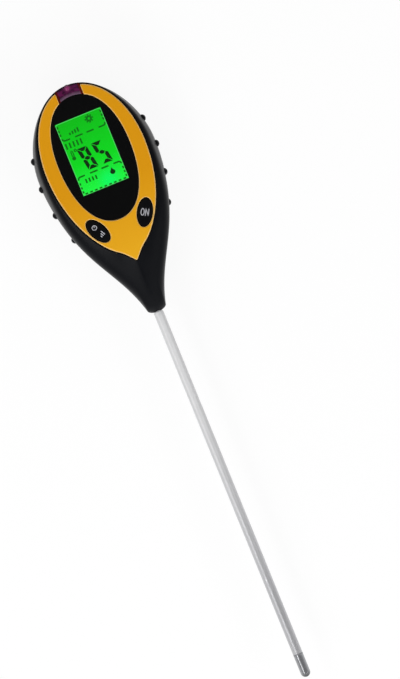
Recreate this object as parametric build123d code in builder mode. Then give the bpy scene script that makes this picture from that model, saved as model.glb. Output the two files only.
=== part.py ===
from build123d import *

import math
import os
from typing import NamedTuple

# A hand-held soil meter lying on its back. X is to the right seen from the front, Y runs from the
# probe's tip towards the crown of the head, Z comes out of the face. The origin is the middle of its
# footprint on the table. Sizes are millimetres. Heights along the head are measured from the neck's end.

# Casing
HEAD_WIDTH = 63.1
WIDEST_HEIGHT = 81.9
CROWN_ROOM = 20.1
NECK_HALF = 5.0
NECK_ROUND = 2.0
NECK_SOLID = 24.8
HOLLOW_HIP = 4.0
NECK_TAPER = 2
WALL = 2.2
BACK_WALL = 2.2
BACK_WIDTH = 44.0
BACK_SETBACK = 13.9
BACK_START = 36.8
BACK_HIP = 6.0
PARTING_Z = 20.0
PARTING_GROOVE = 0.35
PARTING_GROOVE_DEPTH = 0.7
LEVEL_ANGLES = (0, 18, 36, 54, 72, 90)
EDGE_ANGLES = (0, 30, 60, 90)
RIB_HEIGHTS = (49.7, 64.7, 79.5, 94.0)
RIB_RADIUS = 1.9
RIB_PROUD = 1.35
RIB_FRONT_LENGTH = 5.0
RIB_BACK_LENGTH = 9.0

# Front face
BEZEL_WIDTH = 53.4
BEZEL_WIDEST = 83.8
BEZEL_TIP = 28.4
BEZEL_HIP = 6.9
FLOOR_THICKNESS = 1.6
MASK_THICKNESS = 0.2
WINDOW_THICKNESS = 1.6
WINDOW_RECESS = 1.3
RIM_DROP = 0.8
RIM_LIP = 0.5
BEZEL_GAP = 0.3
BEZEL_EDGE = 0.7
WINDOW_GAP = 0.15
OVAL_WIDTH = 38.6
OVAL_SETBACK = 5.9
OVAL_WIDEST = 85.7
OVAL_TAIL = 50.8
OVAL_PULLS = (0.62, 0.60, 0.58, 0.61)
PEG_RADIUS = 1.0
PEG_LENGTH = 1.3
PEG_GAP = 0.1
SIDE_PEG_HEIGHT = 80.8
LOWER_PEG_HEIGHT = 38.8

# Display
VIEW_WIDTH = 24.8
VIEW_LENGTH = 38.7
VIEW_SHIFT = -0.5
VIEW_RISE = 3.4
VIEW_MARGIN = 0.8
GLASS_MARGIN = 2.4
GLASS_THICKNESS = 2.2
PANEL_THICKNESS = 3.0
PANEL_MARGIN = 1.0
FRAME_WALL = 1.4
FRAME_LIP = 0.7
FRAME_GAP = 0.2
FRAME_TO_FLOOR = 0.6
STRIP_WIDTH = 1.1
STRIP_GAP = 0.15
LED_WIDTH = 3.2
LED_LENGTH = 1.6
LED_HEIGHT = 1.5
LED_GAP = 0.2

# Keys
KEY_X = 12.8
KEY_HEIGHT = 49.2
KEY_TILT = 28.0
KEY_LONG = 7.1
KEY_SHORT = 3.65
KEY_GAP = 0.45
KEY_PROUD = 0.4
KEY_EDGE = 0.7
HOLE_EDGE = 0.5
KEY_TRAVEL = 0.9
FLANGE_GROW = 0.9
FLANGE_THICKNESS = 1.5
FLANGE_GAP = 0.35
POST_RADIUS = 3.0
POST_LENGTH = 2.0
MAT_THICKNESS = 1.0
MAT_MARGIN = 1.2
DOME_RADIUS = 5.0
DOME_WALL = 0.6
PILL_RADIUS = 1.7
PAD_RADIUS = 2.2
PAD_THICKNESS = 0.1
PAD_GAP = 0.05

# Light sensor
SENSOR_WIDTH = 13.0
SENSOR_SETBACK = 7.9
SENSOR_GAP = 0.15
SENSOR_DEPTH = 7.9
SENSOR_WALL = 2.0
SENSOR_RECESS = 0.1
LENS_RADIUS = 1.9
LENS_PROUD = 0.3
LENS_DROP = 1.5
DIODE_RADIUS = 1.5
DIODE_FLANGE = 0.4
DIODE_FLANGE_THICKNESS = 1.0
DIODE_BODY = 2.6
DIODE_STAND = 4.3
DIODE_SETBACK = 4.6
DIODE_PITCH = 2.54
PIN_RADIUS = 0.25

# Board
BOARD_THICKNESS = 1.6
BOARD_GAP = 0.5
BOARD_TAIL_MARGIN = 3.5
UNDER_BOARD = 1.9
STANDOFF_RADIUS = 2.5
STANDOFF_GAP = 3.6
STANDOFF_HEIGHT = 84.8
STANDOFF_ABOVE_KEYS = 5.1
BOARD_SCREW_RADIUS = 0.95
BOARD_SCREW_LENGTH = 5.0
BOARD_SCREW_HEAD_RADIUS = 1.9
BOARD_SCREW_HEAD = 1.2
CHIP_SIDE = 10.0
CHIP_THICKNESS = 1.3
CHIP_PLACE = (5.0, 76.8)
CHIP_LEGS = 9
CHIP_LEG_PITCH = 0.9
CHIP_LEG = (0.4, 1.0, 0.3)
CAPACITOR_RADIUS = 2.5
CAPACITOR_LENGTH = 8.0
CAPACITOR_HEIGHT = 66.8
SMALL_PART = (3.2, 1.6, 1.0)
SMALL_PART_PITCH = 4.0
SMALL_PART_COUNT = 4
SMALL_PART_PLACE = (0.0, 91.8)
TRIMMER_SIDE = 6.0
TRIMMER_DEPTH = 4.5
TRIMMER_HEIGHT = 66.8
SIDE_PART_GAP = 3.7

# Battery and its door
BATTERY_WIDTH = 26.5
BATTERY_DEPTH = 17.5
BATTERY_BODY = 45.6
BATTERY_EDGE = 1.4
TERMINAL_LENGTH = 2.9
TERMINAL_PITCH = 12.7
TERMINAL_GAP = 0.15
STUD_RADIUS = 2.85
SOCKET_RADIUS = 4.2
SOCKET_BORE = 2.9
SNAP_LENGTH = 6.0
SNAP_DEPTH = 13.0
SNAP_INSET = 0.5
SNAP_GAP = 0.2
BATTERY_PLAY = 0.3
BATTERY_SIDE_PLAY = 0.55
BOX_WALL = 1.5
BOX_BOTTOM = 46.8
BATTERY_LOW = 2.0
LEAD_ROOM = 3.0
DOOR_RECESS = 0.4
DOOR_THICKNESS = 1.8
DOOR_LEDGE = 0.9
DOOR_GAP = 0.4
DOOR_CORNER = 2.8
DOOR_HIP = 2.7
DOOR_SURROUND = 2.2
DOOR_BEARING = 0.1
SURROUND_DEPTH = 4.2
CATCH_WIDTH = 8.0
CATCH_GAP = 0.15
CATCH_THICKNESS = 0.8
BARREL_RADIUS = 1.0
BARREL_GAP = 0.25
HINGE_SETBACK = 1.5
HINGE_PIN_RADIUS = 0.65
HINGE_PIN_LENGTH = 1.4
HINGE_PIN_GAP = 0.1
FOAM_THICKNESS = 0.6
FOAM_WIDTH = 20.0
FOAM_LENGTH = 30.0
FOAM_GAP = 0.2
RIDGE_COUNT = 5
RIDGE_PITCH = 2.0
RIDGE_LENGTH = 13.0
RIDGE_WIDTH = 0.9
RIDGE_PROUD = 0.25
RIDGE_SETBACK = 4.0

# Leads
LEAD_RADIUS = 0.6
LEAD_BEND = 1.2
LEAD_PITCH = 6.0
LEAD_SLOT_GAP = 0.4
PROBE_LEAD_RUN = 5.0

# Case screws
UPPER_SCREW_HEIGHT = 101.8
UPPER_SCREW_GAP = 2.5
LOWER_SCREW_X = 15.5
LOWER_SCREW_GAP = 4.5
SCREW_POST_RADIUS = 3.0
SCREW_RADIUS = 1.25
SCREW_LENGTH = 17.0
SCREW_HEAD_RADIUS = 2.2
SCREW_HEAD = 1.7
SCREW_SEAT_DEPTH = 8.0
SCREW_GAP = 0.15
HEAD_GAP = 0.3
PILOT_GAP = 0.05
PILOT_SPARE = 1.0
CROSS_WIDTH = 0.7
CROSS_DEPTH = 0.8

# Probe
PROBE_LENGTH = 200.0
TUBE_RADIUS = 2.5
TUBE_WALL = 0.9
TUBE_STEP = 0.5
SHOULDER_GAP = 0.05
TUBE_PROUD = 6.0
TUBE_GAP = 0.05
TIP_LENGTH = 11.9
RING_LENGTH = 0.6
SLEEVE_GAP = 0.05
SLEEVE_PROUD = 2.0
CORE_RADIUS = 0.8
CORE_GAP = 0.05
CORE_PROUD = 2.0
CORE_IN_TIP = 4.0
THERMISTOR_LENGTH = 4.0
THERMISTOR_RADIUS = 0.7
THERMISTOR_GAP = 0.15
COLLAR_WALL = 1.95
COLLAR_LENGTH = 8.0
COLLAR_HEIGHT = 14.0
COLLAR_GAP = 0.1
SEAL_RADIUS = 0.8
SEAL_HEIGHT = 5.0
SEAL_GAP = 0.15

# Levels, from the table up
DOOR_INNER_Z = DOOR_RECESS + DOOR_THICKNESS
BATTERY_Z = DOOR_INNER_Z + FOAM_THICKNESS + FOAM_GAP
BATTERY_AXIS_Z = BATTERY_Z + BATTERY_DEPTH / 2
BOX_ROOF_Z = BATTERY_Z + BATTERY_DEPTH + BATTERY_PLAY
BOX_TOP_Z = BOX_ROOF_Z + BOX_WALL
BOARD_Z = BOX_TOP_Z + UNDER_BOARD
BOARD_TOP_Z = BOARD_Z + BOARD_THICKNESS
GLASS_Z = BOARD_TOP_Z + PANEL_THICKNESS
GLASS_TOP_Z = GLASS_Z + GLASS_THICKNESS
FLOOR_Z = GLASS_TOP_Z + FRAME_LIP + FRAME_TO_FLOOR
POCKET_Z = FLOOR_Z + FLOOR_THICKNESS
WINDOW_Z = POCKET_Z + MASK_THICKNESS
BEZEL_TOP_Z = WINDOW_Z + WINDOW_THICKNESS + WINDOW_RECESS
RIM_Z = BEZEL_TOP_Z - RIM_DROP
HINGE_Z = DOOR_RECESS + BARREL_RADIUS
SCREW_SEAT_Z = PARTING_Z - SCREW_SEAT_DEPTH
FLANGE_Z = FLOOR_Z - FLANGE_GAP - FLANGE_THICKNESS
POST_Z = FLANGE_Z - POST_LENGTH
MAT_TOP_Z = BOARD_TOP_Z + MAT_THICKNESS
PILL_Z = BOARD_TOP_Z + PAD_THICKNESS + PAD_GAP + KEY_TRAVEL
DIODE_Z = BOARD_TOP_Z + DIODE_STAND

# Lengthwise places, as heights above the neck's end
BATTERY_BOTTOM = BOX_BOTTOM + BATTERY_LOW
BATTERY_TOP = BATTERY_BOTTOM + BATTERY_BODY
SNAP_BOTTOM = BATTERY_TOP + SNAP_GAP
SNAP_TOP = SNAP_BOTTOM + SNAP_LENGTH
BOX_TOP = SNAP_TOP + LEAD_ROOM
HEAD_LENGTH = BOX_TOP + CROWN_ROOM
OVAL_CROWN = HEAD_LENGTH - OVAL_SETBACK
VIEW_HEIGHT = (OVAL_CROWN + OVAL_TAIL) / 2 + VIEW_RISE
DOOR_TOP = BOX_TOP + DOOR_LEDGE
DOOR_BOTTOM = BOX_BOTTOM + BARREL_RADIUS - DOOR_GAP
HINGE_HEIGHT = DOOR_BOTTOM - HINGE_SETBACK
TUBE_END = NECK_SOLID + TUBE_PROUD
SLEEVE_END = TUBE_END + SLEEVE_PROUD
CORE_END = SLEEVE_END + CORE_PROUD
PROBE_LEAD_HEIGHT = CORE_END + PROBE_LEAD_RUN
TIP_END = TIP_LENGTH - PROBE_LENGTH
TUBE_START = TIP_END + RING_LENGTH

# Widths
BOX_HALF = BATTERY_WIDTH / 2 + BATTERY_SIDE_PLAY
DOOR_HALF = BOX_HALF + DOOR_LEDGE
BARREL_HALF = DOOR_HALF - HINGE_PIN_LENGTH - BARREL_GAP
NECK_TUBE_RADIUS = TUBE_RADIUS - TUBE_STEP
SLEEVE_RADIUS = TUBE_RADIUS - TUBE_WALL - SLEEVE_GAP
TIP_BORE_RADIUS = CORE_RADIUS + CORE_GAP
TUBE_LEAD_X = NECK_TUBE_RADIUS + LEAD_RADIUS / 2

BASE = (Align.CENTER, Align.CENTER, Align.MIN)
NECK_END_Y = (PROBE_LENGTH - HEAD_LENGTH - LENS_PROUD) / 2


def up(height):
    """Y of a point that far above the neck's end."""
    return NECK_END_Y + height


class Outline(NamedTuple):
    """Half of a plan outline, as heights and half-widths: a crown, a flank and a tail, one cubic each."""

    crown: float
    widest: float
    half_width: float
    crown_pull: float
    shoulder_pull: float
    flank_pull: float
    hip_pull: float
    hip_x: float
    hip: float
    hip_slope: float
    tail: float
    tail_x: float


def grown(outline, by):
    """The same outline moved outwards by a distance, or inwards by a negative one."""
    lean = math.hypot(1, outline.hip_slope)
    return outline._replace(
        crown=outline.crown + by,
        half_width=outline.half_width + by,
        hip_x=outline.hip_x + by / lean,
        hip=outline.hip - by * outline.hip_slope / lean,
        tail=outline.tail - by,
    )


def between(first, second, share):
    """The outline a share of the way from the first to the second."""
    return Outline(*(a + (b - a) * share for a, b in zip(first, second)))


def level_between(middle, cap, rise):
    """The outline part of the way up from the middle to the cap: an ellipse in section, a cone at the neck."""
    share = math.sqrt(1 - rise**2)
    neck = between(cap, middle, share**NECK_TAPER)
    return between(cap, middle, share)._replace(
        hip_pull=neck.hip_pull,
        hip_x=neck.hip_x,
        hip=neck.hip,
        hip_slope=neck.hip_slope,
        tail=neck.tail,
        tail_x=neck.tail_x,
    )


def crown_points(o):
    return (
        (0, o.crown),
        (o.half_width * o.crown_pull, o.crown),
        (o.half_width, o.widest + (o.crown - o.widest) * o.shoulder_pull),
        (o.half_width, o.widest),
    )


def flank_points(o):
    return (
        (o.half_width, o.widest),
        (o.half_width, o.widest - o.flank_pull),
        (o.hip_x + o.hip_slope * o.hip_pull, o.hip + o.hip_pull),
        (o.hip_x, o.hip),
    )


def tail_points(o):
    drop = (o.hip - o.tail) / 3
    return (
        (o.hip_x, o.hip),
        (o.hip_x - o.hip_slope * drop, o.hip - drop),
        (o.tail_x, o.tail),
        (0, o.tail),
    )


def half_width_at(outline, height):
    """Half-width of the outline at a height, found by halving along its crown or its flank."""
    points = crown_points(outline) if height > outline.widest else flank_points(outline)
    low, high = 0.0, 1.0
    for _ in range(40):
        t = (low + high) / 2
        weights = ((1 - t) ** 3, 3 * t * (1 - t) ** 2, 3 * t**2 * (1 - t), t**3)
        x, y = (sum(w * p[axis] for w, p in zip(weights, points)) for axis in (0, 1))
        low, high = (t, high) if y > height else (low, t)
    return x


def mirrored_face(stretches, z):
    """A face at a level from the cubic stretches of one side, crown to tail, and their mirror images."""
    left = [[Vector(-x, up(height), z) for x, height in points] for points in stretches]
    right = [[Vector(-point.X, point.Y, z) for point in reversed(points)] for points in reversed(left)]
    return Face(Wire([Edge.make_bezier(*points) for points in left + right]))


def outline_face(outline, z):
    """The whole outline as a face at a level."""
    return mirrored_face((crown_points(outline), flank_points(outline), tail_points(outline)), z)


def stack(middle, cap, middle_z, cap_z):
    """Outlines as faces from the middle level to the cap level, to be joined by one smooth skin."""
    faces = []
    for angle in LEVEL_ANGLES:
        rise = math.sin(math.radians(angle))
        faces.append(outline_face(level_between(middle, cap, rise), middle_z + (cap_z - middle_z) * rise))
    return faces


def oval_face(gap, z):
    """The window's oval at a level, smaller all round by a gap."""
    half = OVAL_WIDTH / 2 - gap
    crown, tail = OVAL_CROWN - gap, OVAL_TAIL + gap
    across, above, below, under = OVAL_PULLS
    shoulder = OVAL_WIDEST + (crown - OVAL_WIDEST) * above
    hip = OVAL_WIDEST - (OVAL_WIDEST - tail) * below
    upper = ((0, crown), (half * across, crown), (half, shoulder), (half, OVAL_WIDEST))
    lower = ((half, OVAL_WIDEST), (half, hip), (half * under, tail), (0, tail))
    return mirrored_face((upper, lower), z)


def key_sketch(place, grow, z):
    """A key's oval at a level, larger all round by a distance."""
    with BuildSketch(Plane.XY.offset(z)) as sketch:
        with Locations(place):
            Ellipse(KEY_LONG + grow, KEY_SHORT + grow)
    return sketch.sketch


def edge_steps(radius):
    """Steps round a rounded top edge: how far each lies in from the side and down from the top."""
    for angle in EDGE_ANGLES:
        turn = math.radians(angle)
        yield radius * (1 - math.cos(turn)), radius * (1 - math.sin(turn))


def door_sketch(grow, z):
    """The battery door's outline at a level: rounded at the top, cut off at the hinge end's corners."""
    half = DOOR_HALF + grow
    bottom = DOOR_BOTTOM - grow
    hip = DOOR_HIP + grow * (2 - math.sqrt(2))
    top = DOOR_TOP + grow
    corner = DOOR_CORNER + grow
    with BuildSketch(Plane.XY.offset(z)) as sketch:
        with BuildLine():
            Line((0, up(top)), (half - corner, up(top)))
            RadiusArc((half - corner, up(top)), (half, up(top - corner)), corner)
            Polyline((half, up(top - corner)), (half, up(bottom + hip)), (half - hip, up(bottom)), (0, up(bottom)))
            mirror(about=Plane.YZ)
        make_face()
    return sketch.sketch


def along_y(x, height, z):
    """A place whose own Z points from the probe towards the crown."""
    return Location((x, up(height), z), (-90, 0, 0))


def finish(part, name):
    """Label a piece and write it under its node's name."""
    part.label = name
    export_step(part, f"parts/{name}.step")


os.makedirs("parts", exist_ok=True)

# Plan outlines: the casing where its halves meet, the flat of its back, the bezel, and what follows from them
MIDDLE = Outline(
    crown=HEAD_LENGTH,
    widest=WIDEST_HEIGHT,
    half_width=HEAD_WIDTH / 2,
    crown_pull=0.50,
    shoulder_pull=0.53,
    flank_pull=37.4,
    hip_pull=25.7,
    hip_x=NECK_HALF,
    hip=NECK_ROUND,
    hip_slope=0.25,
    tail=0.0,
    tail_x=3.2,
)
BACK = Outline(
    crown=HEAD_LENGTH - BACK_SETBACK,
    widest=77.8,
    half_width=BACK_WIDTH / 2,
    crown_pull=0.56,
    shoulder_pull=0.55,
    flank_pull=18.0,
    hip_pull=6.0,
    hip_x=12.0,
    hip=BACK_START + BACK_HIP,
    hip_slope=1.1,
    tail=BACK_START,
    tail_x=5.0,
)
BEZEL = Outline(
    crown=HEAD_LENGTH - BEZEL_GAP - RIM_LIP,
    widest=BEZEL_WIDEST,
    half_width=BEZEL_WIDTH / 2,
    crown_pull=0.58,
    shoulder_pull=0.57,
    flank_pull=26.0,
    hip_pull=5.0,
    hip_x=7.2,
    hip=BEZEL_TIP + BEZEL_HIP,
    hip_slope=1.5,
    tail=BEZEL_TIP,
    tail_x=0.8,
)
RIM = grown(BEZEL, BEZEL_GAP + RIM_LIP)
INNER_HIP = NECK_SOLID + HOLLOW_HIP
INNER_MIDDLE = grown(MIDDLE, -WALL)._replace(
    flank_pull=30.0,
    hip_pull=12.0,
    hip_x=half_width_at(MIDDLE, INNER_HIP) - WALL,
    hip=INNER_HIP,
    hip_slope=0.5,
    tail=NECK_SOLID,
    tail_x=7.0,
)
INNER_RIM = grown(RIM, -WALL)
BOARD_RISE = (BOARD_TOP_Z - PARTING_Z) / (FLOOR_Z - PARTING_Z)
BOARD = grown(level_between(INNER_MIDDLE, INNER_RIM, BOARD_RISE), -BOARD_GAP)
BOARD_TAIL = PROBE_LEAD_HEIGHT - BOARD_TAIL_MARGIN

# Places in plan
GLASS_WIDTH = VIEW_WIDTH + 2 * GLASS_MARGIN
GLASS_LENGTH = VIEW_LENGTH + 2 * GLASS_MARGIN
FRAME_BORDER = FRAME_GAP + FRAME_WALL
STANDOFF_X = abs(VIEW_SHIFT) + GLASS_WIDTH / 2 + FRAME_BORDER + STANDOFF_RADIUS + STANDOFF_GAP
PEG_X = (OVAL_WIDTH + BEZEL_WIDTH) / 4
UPPER_SCREW_X = BOX_HALF + BOX_WALL + UPPER_SCREW_GAP + SCREW_POST_RADIUS
LOWER_SCREW_HEIGHT = BOX_BOTTOM - BOX_WALL - LOWER_SCREW_GAP - SCREW_POST_RADIUS
SCREW_SPOTS = [
    (side * x, up(height))
    for x, height in ((UPPER_SCREW_X, UPPER_SCREW_HEIGHT), (LOWER_SCREW_X, LOWER_SCREW_HEIGHT))
    for side in (1, -1)
]
STANDOFF_SPOTS = [
    (-STANDOFF_X, up(STANDOFF_HEIGHT)),
    (STANDOFF_X, up(STANDOFF_HEIGHT)),
    (0, up(KEY_HEIGHT + STANDOFF_ABOVE_KEYS)),
]
RIB_SPOTS = [
    (side * (half_width_at(MIDDLE, rib) + RIB_PROUD - RIB_RADIUS), up(rib))
    for rib in RIB_HEIGHTS
    for side in (-1, 1)
]
PEG_SPOTS = [(-PEG_X, up(SIDE_PEG_HEIGHT)), (PEG_X, up(SIDE_PEG_HEIGHT)), (0, up(LOWER_PEG_HEIGHT))]
VIEW_SPOT = (VIEW_SHIFT, up(VIEW_HEIGHT))
DIODE_SPOT = (0, up(HEAD_LENGTH - DIODE_SETBACK))
LED_SPOT = (VIEW_SHIFT, up(VIEW_HEIGHT - VIEW_LENGTH / 2 - PANEL_MARGIN))
KEY_PLACES = {
    name: Location((side * KEY_X, up(KEY_HEIGHT), 0), (0, 0, 90 - side * KEY_TILT))
    for name, side in (("power", 1), ("mode", -1))
}
SIDE_PART_X = BOX_HALF + BOX_WALL + SIDE_PART_GAP

# Solid blocks that the casing's halves are cut from
with BuildPart() as front_block:
    loft(stack(MIDDLE, RIM, PARTING_Z, RIM_Z))

with BuildPart() as rear_block:
    loft(stack(MIDDLE, BACK, PARTING_Z, 0))

# What is taken out of the blocks, with the screw posts, the standoffs and the door's surround left standing
with BuildPart() as front_hollow:
    loft(stack(INNER_MIDDLE, INNER_RIM, PARTING_Z, FLOOR_Z))
    with BuildSketch(Plane.XY.offset(PARTING_Z)):
        with Locations(*SCREW_SPOTS):
            Circle(SCREW_POST_RADIUS)
    extrude(amount=POCKET_Z - PARTING_Z, mode=Mode.SUBTRACT)
    with BuildSketch(Plane.XY.offset(BOARD_TOP_Z)):
        with Locations(*STANDOFF_SPOTS):
            Circle(STANDOFF_RADIUS)
    extrude(amount=POCKET_Z - BOARD_TOP_Z, mode=Mode.SUBTRACT)

with BuildPart() as rear_hollow:
    loft(stack(INNER_MIDDLE, grown(BACK, -WALL), PARTING_Z, BACK_WALL))
    with BuildSketch():
        with Locations(*SCREW_SPOTS):
            Circle(SCREW_POST_RADIUS)
    extrude(amount=PARTING_Z, mode=Mode.SUBTRACT)
    extrude(door_sketch(DOOR_SURROUND, 0), amount=SURROUND_DEPTH, mode=Mode.SUBTRACT)

with BuildPart() as front_ribs:
    with BuildSketch(Plane.XY.offset(PARTING_Z)):
        with Locations(*RIB_SPOTS):
            Circle(RIB_RADIUS)
    extrude(amount=RIB_FRONT_LENGTH)
    with Locations(*[(x, y, PARTING_Z + RIB_FRONT_LENGTH) for x, y in RIB_SPOTS]):
        Sphere(RIB_RADIUS)

with BuildPart() as rear_ribs:
    with BuildSketch(Plane.XY.offset(PARTING_Z)):
        with Locations(*RIB_SPOTS):
            Circle(RIB_RADIUS)
    extrude(amount=-RIB_BACK_LENGTH)
    with Locations(*[(x, y, PARTING_Z - RIB_BACK_LENGTH) for x, y in RIB_SPOTS]):
        Sphere(RIB_RADIUS)

with BuildPart() as parting_groove:
    groove_plane_z = PARTING_Z - PARTING_GROOVE / 2
    extrude(outline_face(grown(MIDDLE, RIB_PROUD + WALL), groove_plane_z), amount=PARTING_GROOVE)
    inside_groove = outline_face(grown(MIDDLE, -PARTING_GROOVE_DEPTH), groove_plane_z)
    extrude(inside_groove, amount=PARTING_GROOVE, mode=Mode.SUBTRACT)

# Bore, collar pocket and seal groove through the neck
with BuildPart() as neck_bore:
    with Locations(along_y(0, -NECK_SOLID, PARTING_Z)):
        Cylinder(NECK_TUBE_RADIUS + TUBE_GAP, NECK_SOLID + TUBE_END, align=BASE)
    with Locations(along_y(0, COLLAR_HEIGHT, PARTING_Z)):
        Cylinder(NECK_TUBE_RADIUS + COLLAR_WALL + COLLAR_GAP, COLLAR_LENGTH + 2 * COLLAR_GAP)
    with Locations(along_y(0, SEAL_HEIGHT, PARTING_Z)):
        Cylinder(NECK_TUBE_RADIUS + TUBE_GAP + 2 * SEAL_RADIUS + SEAL_GAP, 2 * (SEAL_RADIUS + SEAL_GAP))

# Notch for the sensor window at the crown
with BuildPart() as sensor_notch:
    with Locations((0, up(HEAD_LENGTH - SENSOR_SETBACK), BEZEL_TOP_Z - SENSOR_DEPTH)):
        Box(
            SENSOR_WIDTH + 2 * SENSOR_GAP,
            2 * SENSOR_SETBACK,
            2 * SENSOR_DEPTH,
            align=(Align.CENTER, Align.MIN, Align.MIN),
        )

# Front shell
with BuildPart() as front_shell:
    add(front_block.part)
    add(front_ribs.part)
    add(front_hollow.part, mode=Mode.SUBTRACT)
    bezel_pocket = outline_face(grown(BEZEL, BEZEL_GAP), POCKET_Z)
    extrude(bezel_pocket, amount=BEZEL_TOP_Z - POCKET_Z, mode=Mode.SUBTRACT)
    with BuildSketch(Plane.XY.offset(FLOOR_Z - FLOOR_THICKNESS)):
        with Locations(VIEW_SPOT):
            Rectangle(VIEW_WIDTH + 2 * VIEW_MARGIN, VIEW_LENGTH + 2 * VIEW_MARGIN)
        with Locations(*PEG_SPOTS):
            Circle(PEG_RADIUS + PEG_GAP)
        with Locations(*KEY_PLACES.values()):
            Ellipse(KEY_LONG + KEY_GAP, KEY_SHORT + KEY_GAP)
    extrude(amount=2 * FLOOR_THICKNESS, mode=Mode.SUBTRACT)
    with BuildSketch(Plane.XY.offset(PARTING_Z)):
        with Locations(*SCREW_SPOTS):
            Circle(SCREW_RADIUS + PILOT_GAP)
    extrude(amount=SCREW_SEAT_Z + SCREW_LENGTH + PILOT_SPARE - PARTING_Z, mode=Mode.SUBTRACT)
    with BuildSketch(Plane.XY.offset(BOARD_TOP_Z)):
        with Locations(*STANDOFF_SPOTS):
            Circle(BOARD_SCREW_RADIUS + PILOT_GAP)
    extrude(amount=BOARD_SCREW_LENGTH - BOARD_THICKNESS + PILOT_SPARE, mode=Mode.SUBTRACT)
    add(sensor_notch.part, mode=Mode.SUBTRACT)
    add(neck_bore.part, mode=Mode.SUBTRACT)
    add(parting_groove.part, mode=Mode.SUBTRACT)
finish(front_shell.part, "front_shell")

# Rear shell
with BuildPart() as rear_shell:
    add(rear_block.part)
    add(rear_ribs.part)
    add(rear_hollow.part, mode=Mode.SUBTRACT)
    box_middle = (0, up((BOX_BOTTOM + BOX_TOP) / 2))
    with BuildSketch(Plane.XY.offset(SURROUND_DEPTH / 2)):
        with Locations(box_middle):
            Rectangle(2 * (BOX_HALF + BOX_WALL), BOX_TOP - BOX_BOTTOM + 2 * BOX_WALL)
    extrude(amount=BOX_TOP_Z - SURROUND_DEPTH / 2)
    with BuildSketch():
        with Locations(box_middle):
            Rectangle(2 * BOX_HALF, BOX_TOP - BOX_BOTTOM)
    extrude(amount=BOX_ROOF_Z, mode=Mode.SUBTRACT)
    extrude(door_sketch(DOOR_GAP, 0), amount=DOOR_INNER_Z + DOOR_BEARING, mode=Mode.SUBTRACT)
    with BuildSketch():
        with Locations((0, up(HINGE_HEIGHT - BARREL_RADIUS - BARREL_GAP))):
            slot_length = BARREL_RADIUS + BARREL_GAP + HINGE_SETBACK + DOOR_GAP
            Rectangle(2 * (BARREL_HALF + BARREL_GAP), slot_length, align=(Align.CENTER, Align.MIN))
    extrude(amount=HINGE_Z + BARREL_RADIUS + BARREL_GAP, mode=Mode.SUBTRACT)
    with Locations(Location((0, up(HINGE_HEIGHT), HINGE_Z), (0, 90, 0))):
        pin_span = 2 * (BARREL_HALF + HINGE_PIN_LENGTH + BARREL_GAP)
        Cylinder(HINGE_PIN_RADIUS + HINGE_PIN_GAP, pin_span, mode=Mode.SUBTRACT)
    with BuildSketch(Plane.XY.offset(BOX_ROOF_Z)):
        with Locations((0, up(SNAP_TOP + LEAD_ROOM / 2))):
            slot_half = LEAD_RADIUS + LEAD_SLOT_GAP
            Rectangle(LEAD_PITCH + 2 * slot_half, 2 * slot_half)
    extrude(amount=BOX_WALL, mode=Mode.SUBTRACT)
    with BuildSketch():
        with Locations(*SCREW_SPOTS):
            Circle(SCREW_RADIUS + SCREW_GAP)
    extrude(amount=PARTING_Z, mode=Mode.SUBTRACT)
    with BuildSketch():
        with Locations(*SCREW_SPOTS):
            Circle(SCREW_HEAD_RADIUS + HEAD_GAP)
    extrude(amount=SCREW_SEAT_Z, mode=Mode.SUBTRACT)
    add(neck_bore.part, mode=Mode.SUBTRACT)
    add(parting_groove.part, mode=Mode.SUBTRACT)
finish(rear_shell.part, "rear_shell")

# Case screws
with BuildPart() as case_screws:
    with BuildSketch(Plane.XY.offset(SCREW_SEAT_Z)):
        with Locations(*SCREW_SPOTS):
            Circle(SCREW_RADIUS)
    extrude(amount=SCREW_LENGTH)
    with BuildSketch(Plane.XY.offset(SCREW_SEAT_Z)):
        with Locations(*SCREW_SPOTS):
            Circle(SCREW_HEAD_RADIUS)
    extrude(amount=-SCREW_HEAD)
    with BuildSketch(Plane.XY.offset(SCREW_SEAT_Z - SCREW_HEAD)):
        with Locations(*SCREW_SPOTS):
            Rectangle(2 * SCREW_RADIUS, CROSS_WIDTH)
            Rectangle(CROSS_WIDTH, 2 * SCREW_RADIUS)
    extrude(amount=CROSS_DEPTH, mode=Mode.SUBTRACT)
finish(case_screws.part, "case_screws")

# Bezel, with pegs into the front shell's floor
with BuildPart() as bezel_block:
    extrude(outline_face(BEZEL, POCKET_Z), amount=BEZEL_TOP_Z - BEZEL_EDGE - POCKET_Z)
    loft([outline_face(grown(BEZEL, -inset), BEZEL_TOP_Z - drop) for inset, drop in edge_steps(BEZEL_EDGE)])

with BuildPart() as bezel:
    extrude(outline_face(grown(BEZEL, WALL), POCKET_Z), amount=BEZEL_TOP_Z - POCKET_Z)
    extrude(oval_face(0, POCKET_Z), amount=BEZEL_TOP_Z - POCKET_Z, mode=Mode.SUBTRACT)
    for place in KEY_PLACES.values():
        extrude(key_sketch(place, KEY_GAP, POCKET_Z), amount=BEZEL_TOP_Z - POCKET_Z, mode=Mode.SUBTRACT)
    holes = bezel.faces().sort_by(Axis.Z)[-1].inner_wires()
    fillet([edge for hole in holes for edge in hole.edges()], HOLE_EDGE)
    add(bezel_block.part, mode=Mode.INTERSECT)
    add(sensor_notch.part, mode=Mode.SUBTRACT)
    fillet(bezel.faces().sort_by(Axis.Z)[-1].edges().filter_by(Axis.Y), HOLE_EDGE)
    with BuildSketch(Plane.XY.offset(POCKET_Z)):
        with Locations(*PEG_SPOTS):
            Circle(PEG_RADIUS)
    extrude(amount=-PEG_LENGTH)
finish(bezel.part, "bezel")

# Window and its printed mask
with BuildPart() as display_window:
    extrude(oval_face(WINDOW_GAP, WINDOW_Z), amount=WINDOW_THICKNESS)
finish(display_window.part, "display_window")

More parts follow.
